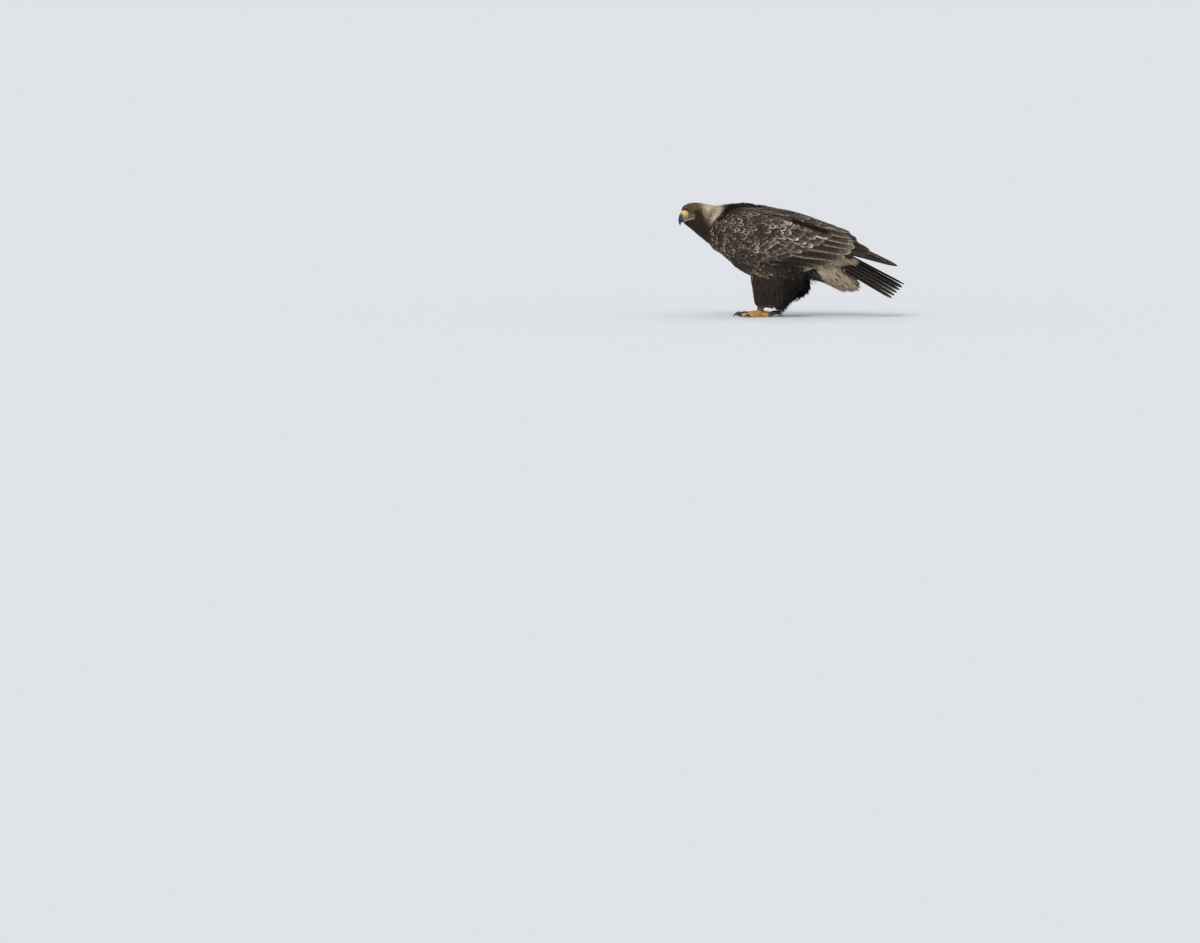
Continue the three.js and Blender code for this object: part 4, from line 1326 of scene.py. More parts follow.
def covert_row(side, reach, count, length, width, slope_top, slope_low, seed, start):
    """One row of larger coverts on one wing."""
    rng = np.random.default_rng(seed + side)
    share = start + (1 - start) * shares_of(rng, count, 0.5)
    tips = between_lines(MEDIAN_LINE, GREATER_LINE, share, reach) + rng.uniform(-4, 4, (count, 2))
    return wing_vanes(
        side, rng, seed, tips, (DARK, TERTIAL), 1, 0.4,
        lambda count: 0.1 + 1.5 * rng.uniform(0, 1, count) ** 1.5,
        (slope_top + (slope_low - slope_top) * share, 4), (length, 5), (width, 3), (0, 0.6),
        columns=BROAD, camber=0.08, layer=reach * -0.9 + 0.35 * (1 - share), fray=0.1,
    )


def scapulars(side):
    """Feathers of the shoulder that lie over the top of the wing, row by row downwards."""
    rng = np.random.default_rng(71 + side)
    batches = []
    for row in range(SCAPULAR_ROWS):
        down = row / (SCAPULAR_ROWS - 1)
        count = SCAPULAR_COUNT - row
        share = shares_of(rng, count, 0.3 + 0.4 * (row % 2), 0.15)
        tips = between_lines(SCAPULAR_TOP_LINE, SCAPULAR_LOW_LINE, share, down)
        tips += rng.uniform(-3, 3, (count, 2))
        batches.append(wing_vanes(
            side, rng, 72 + row, tips, (MANTLE, COVERT), 2, 0.2,
            lambda count: rng.uniform(0.05, 0.95, count), (5 + 12 * share + 5 * down, 4),
            (50 + 20 * share, 5), (16 + 5 * share, 2), (0, 0.7), shape="leaf", columns=BROAD,
            camber=0.1, layer=1.6 - 0.25 * row, fray=0.12,
        ))
    return batches


def wing_coverts(side):
    """All the small feathers on one wing, from its lowest layer to its highest."""
    rows = [covert_row(side, *row) for row in COVERT_ROWS]
    return [*rows, lesser_coverts(side), *scapulars(side)]


# Long feathers of the flank, which hang out under the wing over the top of the thigh.
FLANK_LINES = [
    [(736, 266), (747, 270), (757, 275), (765, 280)],
    [(732, 261), (745, 266), (757, 271.5), (771, 278)],
    [(729, 256.5), (743, 261.5), (757, 267.5), (775, 275)],
]
FLANK_ANGLE = 36
FLANK_COUNT = 11


def flank_feathers(side):
    """Three rows of long buff-edged feathers below the wing's front half."""
    rng = np.random.default_rng(95 + side)
    batches = []
    for row, line in enumerate(FLANK_LINES):
        count = FLANK_COUNT
        share = shares_of(rng, count, 0.3 + 0.4 * (row % 2))
        tips = on_path(of_photo(line), share) + rng.uniform(-3, 3, (count, 2))
        lengths = rng.uniform(44, 56, count)
        roots = tips - downward(FLANK_ANGLE + rng.normal(0, 4, count)) * lengths[:, None]
        roots[:, 1] = np.minimum(roots[:, 1], wing_low(roots[:, 0]) - 4)
        batches.append(laid_from_side(
            side, roots, tips,
            tint=blend_tints(DARK, FLANK, rng.uniform(0.2, 1, count), rng, 0.15),
            pale=tints(FLANK_EDGE, count, rng, 0.2),
            strength=rng.uniform(0.3, 0.9, count),
            unwrap=wing_unwrap(tips), widths=rng.uniform(13, 18, count), seed=96 + row,
            shape="leaf", columns=BROAD, camber=0.12, layer=0.8 + 0.4 * row, fray=0.15,
        ))
    return batches


# Flight feathers: each has the place of its tip in the photograph, its slope at the tip, its length
# and width. They are listed from the lowest, which lies underneath, to the highest.
SECONDARIES = [
    ((787, 263.6), 5, 95, 30),
    ((799, 265.8), 5, 132, 31),
    ((811, 266.8), 6, 165, 32),
    ((822, 264.8), 7, 185, 33),
    ((832, 262.0), 8, 200, 34),
    ((844, 257.0), 9, 195, 36),
    ((850, 251.0), 11, 180, 34),
    ((854, 246.5), 14, 165, 32),
    ((854, 242.5), 17, 155, 30),
    ((851, 237.5), 21, 145, 30),
    ((846, 232.5), 24, 130, 28),
]
PRIMARIES = [
    ((897, 265.6), 21, 230, 26),
    ((892, 262.8), 22, 220, 26),
    ((886, 260.0), 22, 210, 26),
    ((879, 257.0), 22, 200, 26),
    ((872, 254.0), 21, 190, 26),
    ((869, 249.6), 22, 180, 22),
]

# Long feathers lie on the unwrap in strips: the first one's middle, the step to the next and the width.
WING_STRIPS = (0.04, 0.053, 0.045)
TAIL_STRIPS = (0.06, 0.08, 0.07)
STRIP_LENGTH = 0.94

# How the flight feathers bend on their way to the tip, how high the lowest lies over the wing's face,
# how much higher each next one lies, and how far the roots of the primaries sink in.
SECONDARY_BEND = -4
PRIMARY_BEND = -9
PRIMARY_HEIGHT = -3.6
PRIMARY_LAYER = 0.875
PRIMARY_SINK = 7
SECONDARY_HEIGHT = 0.2
SECONDARY_LAYER = 0.245

# How high a secondary or tertial lies over the wing's face, by its way past the greater coverts' tips.
PAST_COVERTS = [-60, -25, 0, 40]
HEIGHTS_THERE = [-8, -5, -2.4, 0]


class WingFace:
    """The outer face of a folded wing, looked up by place in side view."""

    def __init__(self, side, word):
        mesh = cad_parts[f"wing_{word}"].data
        self.side = side
        faces = [tuple(face.vertices) for face in mesh.polygons]
        self.tree = BVHTree.FromPolygons(arrays_of(mesh)[0].tolist(), faces)

    def out(self, y, z):
        """How far from the middle of the body the face is."""
        y = np.clip(y, WING_PLACES[0] + 3, WING_PLACES[-1] - 3)
        z = np.clip(z, wing_low(y) + 2, wing_top(y) - 3)
        found = np.zeros(len(y))
        for i in range(len(y)):
            place = self.tree.ray_cast((self.side * SIDE_START, y[i], z[i]), (-self.side, 0, 0))[0]
            found[i] = self.side * place.x if place is not None else found[max(i - 1, 0)]
        return found


def flight_line(face, tip, slope, bend, length, places):
    """The middle line of one flight feather on the wing's face, its ways out and ways along."""
    mean = np.radians(slope + bend * (1 - places) / 2)
    y, z = of_photo(tip)[:, None] + length * (1 - places) * [-np.cos(mean), np.sin(mean)]
    x = np.polyval(np.polyfit(places, face.out(y, z), 3), places)
    lean = (face.out(y, z + 6) - face.out(y, z - 6)) / 12
    lean = np.polyval(np.polyfit(places, lean, 2), places)
    line = points_of(face.side * x, y, z)
    along = unit(np.gradient(line, axis=0))
    out = points_of(face.side, 0, -lean)
    return line, unit(out - along * dot(out, along)), along


def long_feather(
    line, out, along, width, shape, rng, tint, pale, strength, bars, strips, order, **form
):
    """A batch of one long feather round its middle line, in its own strip of the unwrap."""
    middles = line[None], out[None], along[None], np.array([float(width)])
    points = shape_vanes(*middles, shape, BROAD, rng, **form)
    return batch_of(
        points, OUTLINES[shape][0], BROAD, tint=tints(tint, 1, rng, 0.08), pale=tints(pale, 1, rng),
        strength=strength, unwrap=np.array([[strips[0] + strips[1] * order, 0.5]]), bars=bars,
        patch=(strips[2], STRIP_LENGTH),
    )


def flight_form(side, order):
    """How the long feathers of a wing are bent, and where each lies on the unwrap."""
    form = {"camber": 0.1, "roll": -0.1 * side, "thick": 0.7, "fray": 0.05}
    return form | {"strips": WING_STRIPS, "order": order}


def primary(face, i, rng):
    """One of a wing's primaries, the i-th from below."""
    tip, slope, length, width = PRIMARIES[i]
    places = OUTLINES["blade"][0]
    line, out, along = flight_line(face, tip, slope, PRIMARY_BEND, length, places)
    height = PRIMARY_HEIGHT + PRIMARY_LAYER * i - PRIMARY_SINK * (1 - smooth(places, 0.1, 0.75))
    return long_feather(
        line + out * height[:, None], out, along, width, "blade", rng, PRIMARY, FLIGHT_EDGE,
        0.4, 0.12, **flight_form(face.side, i),
    )


def secondary(face, i, rng):
    """One of a wing's secondaries and tertials, the i-th from below."""
    tip, slope, length, width = SECONDARIES[i]
    places = OUTLINES["quill"][0]
    line, out, along = flight_line(face, tip, slope, SECONDARY_BEND, length, places)
    line = line + out * (SECONDARY_HEIGHT + SECONDARY_LAYER * i)
    upper = i / (len(SECONDARIES) - 1)
    base = towards(np.array(SECONDARY), np.array(TERTIAL), upper)
    batch = long_feather(
        line, out, along, width, "quill", rng, base, COVERT_EDGE, 0.3 + 0.3 * upper, 0.22,
        **flight_form(face.side, i + len(PRIMARIES)),
    )
    y, z = batch["points"][:, 1:].T
    coverts = of_photo(GREATER_LINE)[::-1]
    height = np.interp(y - np.interp(z, *coverts.T[::-1]), PAST_COVERTS, HEIGHTS_THERE)
    batch["points"] += np.repeat(out, len(BROAD) + 1, axis=0) * height[:, None]
    return batch


def flight_feathers(side, word):
    """The primaries and, over them, the secondaries and tertials of one folded wing."""
    face = WingFace(side, word)
    rng = np.random.default_rng(91 + side)
    batches = [primary(face, i, rng) for i in range(len(PRIMARIES))]
    return batches + [secondary(face, i, rng) for i in range(len(SECONDARIES))]


# The tail

TAIL_FEATHERS = 12
TAIL_ROOT = (112, 247.5)
TAIL_SLOPE = math.radians(27.5)
TAIL_LENGTH = 296
TAIL_STARTS = 44
TAIL_SPLAY = math.radians(5.2)
TAIL_ROOT_HALF = 22
TAIL_ROOT_FALL = 52
TAIL_END_FALL = 68
TAIL_STEP_SHORTER = 3.5
TAIL_QUILLS_WITHIN = 0.92
TAIL_LEAN = 0.5
TAIL_HALF_WIDTHS = [19, 15, 12, 11, 10.5, 10]


def tail_feathers():
    """Twelve long feathers that lie like a steep roof, the middle pair on top."""
    rng = np.random.default_rng(101)
    places = OUTLINES["strap"][0]
    sine, cosine = math.sin(TAIL_SLOPE), math.cos(TAIL_SLOPE)
    batches = []
    for i in range(TAIL_FEATHERS):
        order = i - (TAIL_FEATHERS - 1) / 2
        share = order / ((TAIL_FEATHERS - 1) / 2)
        rank = int(abs(order))
        length = TAIL_LENGTH - TAIL_STEP_SHORTER * (abs(order) - 0.5)
        along = TAIL_STARTS + (length - TAIL_STARTS) * places
        half = TAIL_ROOT_HALF + along * math.tan(TAIL_SPLAY)
        across = half * share * TAIL_QUILLS_WITHIN
        fall = TAIL_ROOT_FALL + (TAIL_END_FALL - TAIL_ROOT_FALL) * along / TAIL_LENGTH
        up = -fall * np.abs(across) / half - 0.5 * rank
        line = points_of(across, TAIL_ROOT[0] + along * cosine + up * sine,
                         TAIL_ROOT[1] - along * sine + up * cosine)
        way = unit(np.gradient(line, axis=0))
        lean = math.copysign(TAIL_LEAN * (0.35 if rank == 0 else 1), share)
        out = np.tile([lean, sine, cosine], (len(way), 1))
        batches.append(long_feather(
            line, unit(out - way * dot(way, out)), way, 2.0 * TAIL_HALF_WIDTHS[rank], "strap", rng,
            TAIL, TAIL_EDGE, 0.5, 0.3, TAIL_STRIPS, i,
            camber=0.06, roll=0.0, thick=0.9, fray=0.04,
        ))
    return batches


# The legs

LEG_X = 51
LEG_REACH = 32
LEG_HEIGHTS = [25, 38, 48, 65, 91, 123, 157, 200]
LEG_MIDDLES = {
    LEFT: [-85, -79, -74, -68, -57, -47, -44, -45],
    RIGHT: [-80, -74, -69, -52, -39, -36, -38, -41],
}
LEG_HALVES = {
    LEFT: [38, 46, 52, 60, 75, 90, 94, 81],
    RIGHT: [43, 50, 57, 75, 91, 100, 100, 85],
}
LEG_HALF_WIDTHS = [9, 14, 18, 24, 31, 36, 34, 22]


def leg_roots(side, low, high, row_step, arc_step, seed):
    """Roots in rows round one leg, with the angle round it, 0 outwards and 90 degrees behind."""
    rng = np.random.default_rng(seed)
    rows = []
    z = low
    while z < high:
        middle = np.interp(z, LEG_HEIGHTS, LEG_MIDDLES[side])
        half = np.interp(z, LEG_HEIGHTS, LEG_HALVES[side])
        across = np.interp(z, LEG_HEIGHTS, LEG_HALF_WIDTHS)
        count = int(math.pi * (1.5 * (half + across) - math.sqrt(half * across)) / arc_step)
        turn = np.arange(count) + rng.uniform(0, 1) + rng.uniform(-0.2, 0.2, count)
        angle = 2 * math.pi * turn / count
        heights = z + rng.uniform(-0.3, 0.3, count) * row_step
        aim = points_of(LEG_X + across * np.cos(angle), middle + half * np.sin(angle), heights)
        out = unit(points_of(half * np.cos(angle), across * np.sin(angle), 0))
        to_middle = (aim[:, 0] - 1) / np.maximum(-out[:, 0], 1e-3)
        reach = np.where(out[:, 0] < 0, np.minimum(to_middle, LEG_START), LEG_START)
        start = aim + out * reach[:, None]
        rows.append((start * [side, 1, 1], -out * [side, 1, 1], aim * [side, 1, 1], angle))
        z += row_step
    starts, ways, aims, angles = (np.concatenate(values) for values in zip(*rows))
    roots, hit = surface.rays(starts, ways)
    return picked(hit & (np.linalg.norm(roots - aims, axis=1) < LEG_REACH), roots, angles)


def leg_unwrap(roots, angles):
    """A place on the unwrap of a leg: round it, and up it."""
    return unwrapped(angles / (2 * math.pi) % 1, roots[:, 2] / 220)


def trouser_tints(base, roots, side, rng, spread=0.2):
    """Tints of the trousers, darker on the leg's inner side and behind with painted shade."""
    behind = 0.6 * smooth(roots[:, 1:2], -55, -20)
    inner = 0.6 * smooth(LEG_X - roots[:, :1] * side, -4, 12)
    return tints(base, len(roots), rng, spread) * (1 - np.maximum(inner, behind))


def trousers(side):
    """Long loose feathers of the thigh and shank, ragged along their lower rear edge."""
    roots, angles = leg_roots(side, 44, 186, 6.4, 6.6, 111 + side)
    high_inside = (roots[:, 0] * side < LEG_X - 8) & (roots[:, 2] > 146)
    roots, angles = picked(~high_inside, roots, angles)
    count = len(roots)
    rng = np.random.default_rng(113 + side)
    behind = smooth(np.sin(angles), -0.3, 0.8)
    short = 0.45 * smooth(-roots[:, 2], -90, -55) * (1 - behind)
    return vanes(
        roots, points_of(0, 0.12 + 0.45 * behind, -0.95) + rng.normal(0, 0.07, (count, 3)),
        tint=trouser_tints(TROUSERS, roots, side, rng),
        pale=trouser_tints(TROUSERS_EDGE, roots, side, rng),
        strength=rng.uniform(0.1, 0.8, count),
        unwrap=leg_unwrap(roots, angles),
        lengths=(rng.uniform(30, 44, count) + 8 * behind) * (1 - short),
        widths=rng.uniform(7, 11, count), seed=114, shape="loose", follow=0.8, camber=0.3,
        proud=rng.uniform(-0.5, 1.5, count), fray=0.3,
    )


def trouser_fringe(side):
    """Thin loose tips that stand clear of the lower rear edge of the trousers."""
    roots, angles = leg_roots(side, 40, 140, 5.0, 5.0, 121 + side)
    roots, angles = picked(np.sin(angles) > 0.2, roots, angles)
    count = len(roots)
    rng = np.random.default_rng(123 + side)
    backward = rng.uniform(0.3, 0.8, count)
    return vanes(
        roots, points_of(rng.normal(0, 0.08, count), backward, -0.85),
        tint=trouser_tints(TROUSERS, roots, side, rng, 0.25),
        pale=trouser_tints(TROUSERS_EDGE, roots, side, rng),
        strength=rng.uniform(0.1, 0.6, count),
        unwrap=leg_unwrap(roots, angles),
        lengths=rng.uniform(26, 50, count), widths=rng.uniform(2.6, 5.5, count), seed=124,
        shape="loose", follow=0.08, rise=0.6, camber=0.2, proud=rng.uniform(-3, 1, count),
        thick=0.35, fray=0.3,
    )


def tarsus_coat(side):
    """Short warm brown feathers of the feathered shank, down to the toes."""
    roots, angles = leg_roots(side, 17, 62, 3.2, 3.4, 131 + side)
    roots, angles = picked(roots[:, 1] < -62, roots, angles)
    count = len(roots)
    rng = np.random.default_rng(133 + side)
    dark = smooth(roots[:, 2], 30, 55)
    return vanes(
        roots, points_of(0, -0.1, -1) + rng.normal(0, 0.08, (count, 3)),
        tint=blend_tints(TARSUS, TROUSERS, dark, rng),
        pale=blend_tints(VENT_EDGE, TROUSERS_EDGE, dark, rng),
        strength=rng.uniform(0.2, 0.8, count),
        unwrap=leg_unwrap(roots, angles),
        lengths=rng.uniform(11, 16, count), widths=rng.uniform(3.4, 5, count), seed=134,
        shape="lance", sink=0.4, thick=0.35,
    )


# Solid pieces: bill, eyes, lids, toes and claws

# How many places there are along and round each of them, and on the eyeball in front and behind.
BILL_STEPS = (110, 120)
LOWER_BILL_STEPS = (40, 32)
LIP_STEPS = (30, 10)
EYE_STEPS = (40, 8)
EYE_AROUND = 40
LID_STEPS = (64, 16)
TOE_STEPS = (84, 28)
PALM_STEPS = (24, 32)
CLAW_STEPS = (44, 20)


def solid_piece(name, tubes, material, replaced=(), closed=False):
    """One mesh of tubes, each given as its points and colours, rings by places round. A closed one
    is a ring that meets itself, and the others have ends."""
    points, colours, faces, maps = [], [], [], []
    start = 0
    for index, (rings, tint) in enumerate(tubes):
        count, around = rings.shape[:2]
        for corners in tube_corners(count, around, closed)[:1 if closed else 2]:
            faces += (start + numbered(corners, count, around)).tolist()
            places = corners.reshape(-1, 2) / [count if closed else count - 1, around]
            maps.append((np.array([0, index]) + 0.03 + 0.94 * places) / [1, len(tubes)])
        points.append(rings.reshape(-1, 3))
        colours.append(np.broadcast_to(tint, rings.shape).reshape(-1, 3))
        start += count * around
    mesh = polygon_mesh(name, np.concatenate(points), faces)
    add_colours(mesh, "tint", np.concatenate(colours))
    add_map(mesh, "OFBake", np.concatenate(maps))
    outward = bmesh.new()
    outward.from_mesh(mesh)
    bmesh.ops.recalc_face_normals(outward, faces=outward.faces)
    outward.to_mesh(mesh)
    outward.free()
    add_piece(name, mesh, material, replaced)


def squared(value, fullness):
    """A sine or cosine bent so that a ring drawn with it is fuller or slimmer than an ellipse."""
    return np.sign(value) * np.abs(value) ** (2 / fullness)


# The bill, with the neck straight: its upper edge and its cutting edge as distances behind the
# bill's foremost place and heights, and its half width between them.
BILL_FRONT = -406
CULMEN = np.array([
    (42.5, 351), (28.5, 353.5), (18.5, 350), (8.5, 342), (2, 331), (0, 319), (2.5, 309), (7, 302.5),
])
CUTTING_EDGE = np.array([
    (50.5, 328), (37.5, 325), (26.5, 321), (18.5, 318.5), (13.5, 317), (10, 312.5), (8.5, 307.5),
    (7.8, 302.3),
])
BILL_HALF_WIDTHS = [14.5, 14.2, 12.2, 9.2, 6.5, 4.6, 2.8, 0.5]
CERE_ENDS = 2.72
CERE_SWELL = 0.7
NOSTRIL_PLACE = (2.1, 0.45)
NOSTRIL_SIZE = (0.17, 0.075)
NOSTRIL_DEPTH = 1.6
LOWER_BILL_FRONT = -392.5
LOWER_BILL_BACK = -356
LOWER_BILL_DEPTH = 11
LOWER_BILL_HALF = 9.5
LIP_HEIGHT = 1.8
# The two lips: how far under the gape's line each is, and its radius.
LIPS = ((0, 1.1), (1.6, 0.95))


def upper_bill():
    """The hooked upper bill with its cere and nostrils: its rings and their colours."""
    knots = np.arange(len(CULMEN))
    step = np.linspace(0, knots[-1], BILL_STEPS[0])
    back, top = (curve_through(knots, values, step)[:, None] for values in CULMEN.T)
    low_back, low = (curve_through(knots, values, step)[:, None] for values in CUTTING_EDGE.T)
    half = curve_through(knots, BILL_HALF_WIDTHS, step)[:, None]
    angle = circle(BILL_STEPS[1])
    up = 0.5 + 0.5 * squared(np.sin(angle), 2.5)
    across = squared(np.cos(angle), 2.2) * (1 - 0.3 * up**3)
    place, level = np.meshgrid(step, up, indexing="ij")
    cere = smooth(CERE_ENDS + 0.12 * np.sin(3 * level) - place, -0.05, 0.07)
    swell = CERE_SWELL * cere * smooth(place, 0.2, 1.0)
    from_nostril = (np.stack([place, level], axis=-1) - NOSTRIL_PLACE) / NOSTRIL_SIZE
    hole = smooth(-np.hypot(*np.moveaxis(from_nostril, -1, 0)), -1.2, -0.8)
    x = across * half
    x = x + np.sign(x) * (swell - NOSTRIL_DEPTH * hole)
    y = BILL_FRONT + towards(low_back, back, level) - swell * (level > 0.5) * 0.4
    z = towards(low, top, level) + swell * (level - 0.5)
    horn = mixed_colours(BILL_BASE, BILL_TIP, smooth(place + 1.1 * (level - 0.4), 2.8, 4.6))
    # The cere: yellow above, greyed lower down with painted shade.
    waxy = mixed_colours(SHADED_CERE, CERE, smooth(level, 0.38, 0.72) * (0.3 + 0.7 * smooth(place, 0.9, 1.9)))
    # The nostrils' holes are painted dark as their shade.
    colour = towards(towards(horn, waxy, cere), linear(NOSTRIL_SHADE), hole)
    return turned(points_of(x, y, z)), colour


def lower_bill():
    """The lower bill, which closes under the cutting edge: its rings and their colours."""
    share = np.linspace(0, 1, LOWER_BILL_STEPS[0])[:, None]
    y = LOWER_BILL_BACK + (LOWER_BILL_FRONT - LOWER_BILL_BACK) * share
    top = np.interp(y - BILL_FRONT, *CUTTING_EDGE[::-1].T) - 0.2
    angle = circle(LOWER_BILL_STEPS[1])
    x = LOWER_BILL_HALF * (1 - 0.72 * share**2) * squared(np.cos(angle), 2.3)
    down = 0.5 - 0.5 * squared(np.sin(angle), 2.6)
    rings = points_of(x, y, top - LOWER_BILL_DEPTH * (1 - 0.62 * share**2) * down)
    share = np.broadcast_to(share, x.shape)
    colour = mixed_colours(GAPE, BILL_BASE, smooth(share, 0.45, 0.6))
    colour = towards(colour, linear(BILL_TIP) * 1.6, smooth(share, 0.7, 1) * 0.7)
    return turned(rings), colour


def lip(side, drop, radius):
    """One fleshy lip along the gape, on the face from under the cere to under the eye."""
    share = np.linspace(0, 1, LIP_STEPS[0])
    path = on_path(GAPE_LINE * [side, 1, 1] - [0, 0, drop], share)
    bare = turned(path)
    found, normals, depths = surface.nearest(bare)
    found += normals * (LIP_HEIGHT - depths)[:, None]
    path = towards(bare, found, smooth(path[:, 1], -388, -379))
    path = relaxed(path, chain(LIP_STEPS[0]), 20)
    sideways = unit(np.cross(normals, unit(np.gradient(path, axis=0))))
    size = radius * (0.2 + 0.8 * smooth(share, 0, 0.4)) * (1 - 0.6 * smooth(share, 0.7, 1))
    angle = circle(LIP_STEPS[1])[None, :, None]
    ring = np.cos(angle) * sideways[:, None] + 1.35 * np.sin(angle) * normals[:, None]
    return path[:, None] + size[:, None, None] * ring, linear(GAPE)


def build_bill():
    """The bill with its cere, nostrils and the lips of the gape."""
    lips = [lip(side, drop, radius) for side, _ in SIDES for drop, radius in LIPS]
    solid_piece("bill", [upper_bill(), lower_bill(), *lips], HORN, ("bill_upper", "bill_lower"))


# Eyes and lids: the pupil's and iris's edges as angles from the way the eye looks, and half the
# width and height of the opening between the lids.
PUPIL_SIZE = 0.36
IRIS_SIZE = 0.86
OPENING = (6.7, 5.0)


def eye_frame(side):
    """An eye's centre, the way it looks, and the ways forward and up across it."""
    look = unit(EYE_WAY * [side, 1, 1])
    forward = np.array([0, -1.0, 0])
    forward = unit(forward - look * (forward @ look))
    up = np.cross(look, forward)
    return EYE * [side, 1, 1], look, forward, up * np.sign(up[2])


def eyeball(side):
    """One eye as rings round the way it looks, with its pupil, iris and dark rim."""
    centre, look, forward, up = eye_frame(side)
    tilt = np.concatenate([np.linspace(0.02, 1.3, EYE_STEPS[0]), np.linspace(1.5, 3.1, EYE_STEPS[1])])
    tilts, angles = np.meshgrid(tilt, circle(EYE_AROUND), indexing="ij")
    radius = EYE_RADIUS + 0.5 * smooth(-tilts, -0.8, -0.1)
    circles = np.cos(angles)[..., None] * forward + side * np.sin(angles)[..., None] * up
    rings = np.cos(tilts)[..., None] * look + np.sin(tilts)[..., None] * circles
    streaks = 1 + 0.12 * np.sin(angles * 9 + 2 * np.sin(angles * 4)) * smooth(tilts, PUPIL_SIZE, 0.5)
    colour = mixed_colours(IRIS, IRIS_RIM, smooth(tilts, 0.5, IRIS_SIZE)) * streaks[..., None]
    pupil = smooth(-tilts, -PUPIL_SIZE - 0.03, -PUPIL_SIZE + 0.03)
    rim = smooth(tilts, IRIS_SIZE - 0.04, IRIS_SIZE + 0.04)
    colour = towards(colour, linear(PUPIL), np.maximum(pupil, rim))
    return turned(centre + radius[..., None] * rings), colour


def lid_ring(side):
    """The bare rim round one eye: a flattened ring on the eyeball, lower in front and behind."""
    centre, look, forward, up = eye_frame(side)
    angle = circle(LID_STEPS[0])[:, None]
    high = OPENING[1] * np.sin(angle) * np.where(np.sin(angle) > 0, 0.86, 1.0)
    flat = OPENING[0] * np.cos(angle) * forward + high * up
    reach = np.linalg.norm(flat, axis=1, keepdims=True)
    place = circle(LID_STEPS[1])[None, :, None]
    aside = 0.85 + 0.85 * np.cos(place)
    lift = 0.25 + 0.55 * np.sin(place) - 0.3 * aside
    height = np.sqrt(EYE_RADIUS**2 - reach**2)[:, None] + lift
    rings = centre + (flat / reach)[:, None] * (reach[:, None] + aside - 0.15) + look * height
    return turned(rings), linear(LID)


def build_eyes():
    """Both eyes and the rims of their lids."""
    for side, word in SIDES:
        solid_piece(f"eyeball_{word}", [eyeball(side)], EYE_WET, (f"eye_{word}",))
        solid_piece(f"eyelid_{word}", [lid_ring(side)], LID_SKIN, closed=True)


# The feet: toes with their way out from the foot in degrees from straight ahead, outwards positive,
# length, radius at the root and at the end, and the claw's length over the floor and root radius.
FOOT_X = 47
ANKLE_Y = {LEFT: -109, RIGHT: -103}
TOES = {
    "inner": (-24, 43, 9, 7, 30, 5),
    "middle": (2, 58, 9, 6.4, 24, 4.3),
    "outer": (46, 45, 8.4, 6, 20, 3.7),
    "hind": (186, 33, 9, 7.2, 37, 5.6),
}
SOLE_TRIM = 0.7
SCUTE_LENGTH = 4.2
SCUTE_RELIEF = 0.55
PAD_SWELL = 0.13
PALM_RADIUS = 13
CLAW_SLOPE = math.radians(28)


def toe_frame(side, turn):
    """The middle of a foot on the floor, a toe's way out from it, and the way across the toe."""
    angle = math.radians(turn) * side
    way = np.array([math.sin(angle), -math.cos(angle), 0.0])
    return np.array([side * FOOT_X, ANKLE_Y[side], 0.0]), way, np.array([-way[1], way[0], 0.0])


def toe(side, name):
    """One toe: pads beneath it, and a row of overlapping plates along its top."""
    turn, length, root, end, _, _ = TOES[name]
    middle, way, across = toe_frame(side, turn)
    share = np.linspace(-0.06, 1, TOE_STEPS[0])
    places, angles = np.meshgrid(share, circle(TOE_STEPS[1]), indexing="ij")
    radius = root + (end - root) * places
    tip = np.sqrt(np.maximum(1 - np.maximum((places - 0.8) / 0.215, 0) ** 2, 0.02))
    above = smooth(np.sin(angles), 0.05, 0.45)
    below = smooth(-np.sin(angles), 0.0, 0.6)
    plate = (places * length / SCUTE_LENGTH) % 1
    pads = np.abs(np.sin(math.pi * 3 * np.clip(places, 0, 1)))
    size = radius * (1 - 0.06 + PAD_SWELL * pads * (0.4 + 0.6 * below)) * tip
    size += above * SCUTE_RELIEF * (plate**0.7 - 0.6) * tip
    size += 0.18 * np.sin(angles * 11) * np.sin(places * length * 2.4) * (1 - above)
    rings = middle + way * (length * places)[..., None] + (size * np.cos(angles))[..., None] * across
    rings[..., 2] = np.maximum(radius - SOLE_TRIM + size * np.sin(angles), 0.02)
    crease = above * smooth(-plate, -0.22, -0.02) + (1 - above) * 0.3 * (1 - pads)
    return rings, mixed_colours(TOE, TOE_CREASE, np.clip(crease, 0, 1))


def palm(side):
    """The round middle of the foot, where the toes meet under the shank."""
    tilt = np.linspace(0.03, math.pi - 0.03, PALM_STEPS[0])
    tilts, angles = np.meshgrid(tilt, circle(PALM_STEPS[1]), indexing="ij")
    grain = np.sin(angles * 9) * np.sin(tilts * 14)
    radius = PALM_RADIUS * (1 + 0.02 * grain)
    height = np.maximum(0.95 * radius * (1 - np.cos(tilts)) - SOLE_TRIM, 0.02)
    x = side * FOOT_X + radius * np.sin(tilts) * np.cos(angles)
    y = ANKLE_Y[side] + 1.1 * radius * np.sin(tilts) * np.sin(angles)
    return points_of(x, y, height), mixed_colours(TOE, TOE_CREASE, 0.5 + 0.5 * grain)


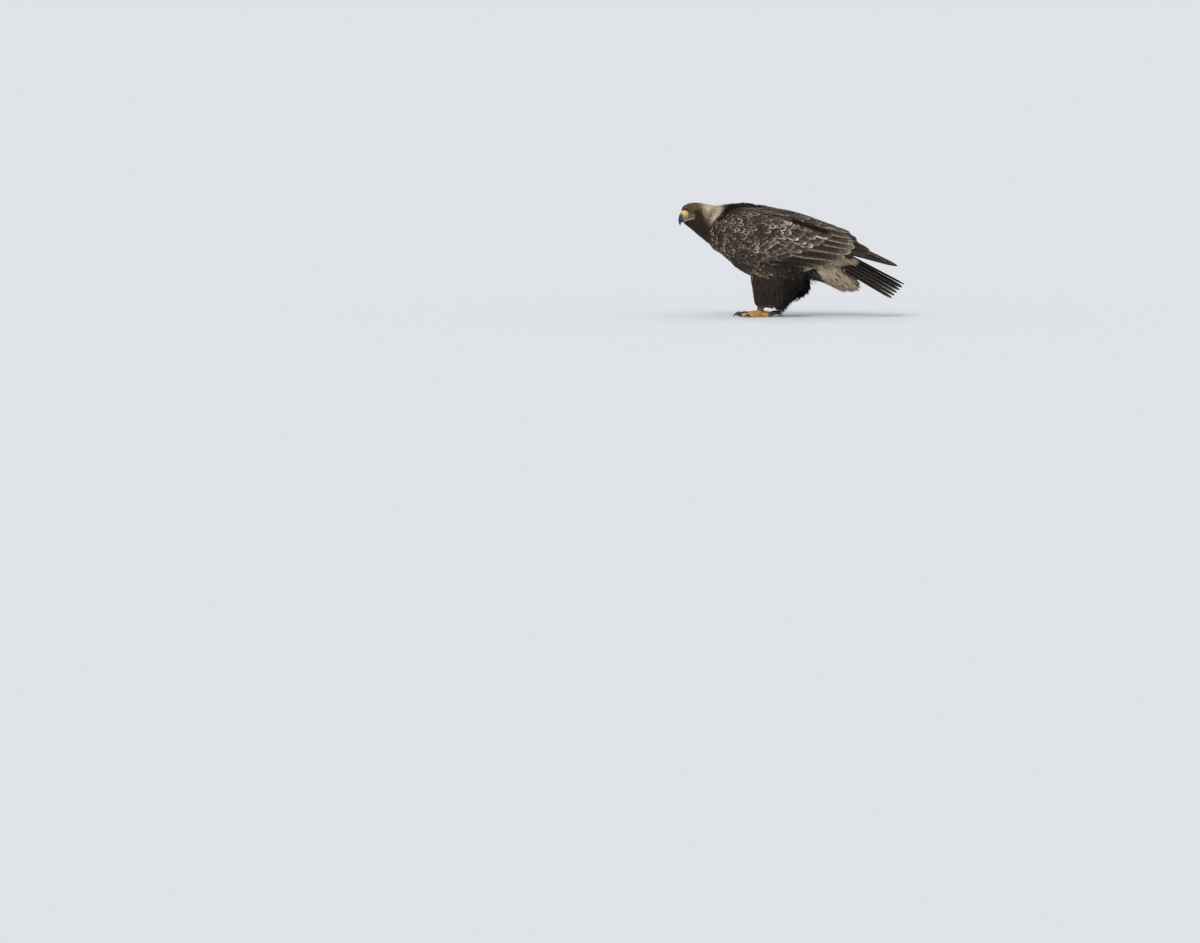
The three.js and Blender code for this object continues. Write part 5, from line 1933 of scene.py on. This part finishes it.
def claw(side, name):
    """One curved claw, from inside its toe's end to its tip on the floor."""
    turn, length, _, end, reach, thick = TOES[name]
    middle, way, across = toe_frame(side, turn)
    share = np.linspace(-0.12, 1, CLAW_STEPS[0])
    past = np.maximum(share, 0)
    along = reach * np.sin(share * math.pi / 2)
    height = end - SOLE_TRIM
    path = middle + way * (length + 1.3 + along)[:, None]
    path[:, 2] = height + math.tan(CLAW_SLOPE) * along * (1 - share) - height * past**2.2
    up = unit(np.cross(across, unit(np.gradient(path, axis=0))))
    up *= np.sign(up[:, 2:3] + 1e-9)
    up = unit(relaxed(up, chain(CLAW_STEPS[0]), 3))
    radius = thick * (1 - past) ** 0.75 + 0.3
    angle = circle(CLAW_STEPS[1])[None, :, None]
    ring = (0.82 + 0.12 * np.sin(angle)) * np.cos(angle) * across + 1.08 * np.sin(angle) * up[:, None]
    rings = path[:, None] + radius[:, None, None] * ring
    rings[..., 2] = np.maximum(rings[..., 2], 0.0)
    paler = np.broadcast_to(smooth(-share, -0.15, 0.08)[:, None], rings.shape[:2])
    return rings, mixed_colours(CLAW, BILL_BASE, paler * 0.5)


def build_feet():
    """Toes and claws of both feet."""
    for side, word in SIDES:
        toes = [toe(side, name) for name in TOES] + [palm(side)]
        solid_piece(f"toes_{word}", toes, SCALES, (f"foot_{word}",))
        claws = [claw(side, name) for name in TOES]
        replaced = [f"claw_{name}_{word}" for name in TOES]
        solid_piece(f"claws_{word}", claws, CLAW_HORN, replaced)


# Floor, light and camera


def make_camera():
    """A long lens from the bird's left, aimed so that the bird falls where the photograph has it."""
    aim_y, aim_z = of_photo([PHOTO_SIZE[0] / 2, PHOTO_SIZE[1] / 2])
    away = Vector((math.cos(CAMERA_ELEVATION), 0, math.sin(CAMERA_ELEVATION)))
    data = bpy.data.cameras.new("camera")
    data.sensor_width = SENSOR
    data.lens = SENSOR * CAMERA_DISTANCE / (PHOTO_SIZE[0] * PIXEL)
    data.clip_end = CAMERA_REACH * MM
    camera = add_object("camera", data)
    camera.location = Vector((0, aim_y, aim_z)) * MM + away * CAMERA_DISTANCE * MM
    camera.rotation_euler = (-away).to_track_quat("-Z", "Y").to_euler()
    bpy.context.scene.camera = camera


def make_floor():
    """A wide pale floor under the claws."""
    shader = Shader("floor", 1.0, 0.0)
    shader.inputs["Base Color"].default_value = FLOOR_COLOUR
    corners = [(x * FLOOR_HALF, y * FLOOR_HALF, 0) for x, y in ((-1, -1), (1, -1), (1, 1), (-1, 1))]
    floor = add_object("floor", polygon_mesh("floor", corners, [(0, 1, 2, 3)], smooth_faces=False))
    floor.data.materials.append(shader.material)


def make_lights():
    """A pale sky and one broad soft lamp from above, in front and to the left."""
    world = bpy.data.worlds.new("sky")
    world.use_nodes = True
    background = world.node_tree.nodes["Background"]
    background.inputs["Color"].default_value = SKY_COLOUR
    background.inputs["Strength"].default_value = SKY_STRENGTH
    bpy.context.scene.world = world
    data = bpy.data.lights.new("key", "SUN")
    data.energy = LAMP_ENERGY
    data.angle = LAMP_SPREAD
    data.color = LAMP_COLOUR
    light = add_object("key", data)
    light.rotation_euler = Vector(LAMP_WAY).to_track_quat("-Z", "Y").to_euler()
    bpy.context.scene.view_settings.view_transform = "Standard"


make_camera()
make_floor()
make_lights()
build_skin()
feather_piece("head_feathers", [head_coat(), brow_coat(LEFT), brow_coat(RIGHT)])
feather_piece("neck_feathers", in_shade([neck_coat()]))
feather_piece("body_feathers", in_shade([body_coat()]))
feather_piece("rump_feathers", [rump_coat()])
feather_piece("undertail_feathers", [vent_coat(), vent_fringe()])
for side, word in SIDES:
    feather_piece(f"wing_coverts_{word}", in_shade(wing_coverts(side)))
    feather_piece(f"flank_feathers_{word}", flank_feathers(side))
    feather_piece(f"flight_feathers_{word}", in_shade(flight_feathers(side, word)))
    feather_piece(f"trousers_{word}", [trousers(side), trouser_fringe(side)])
    feather_piece(f"shank_feathers_{word}", [tarsus_coat(side)])
feather_piece("tail_feathers", tail_feathers(), replaced=("tail",))
build_bill()
build_eyes()
build_feet()
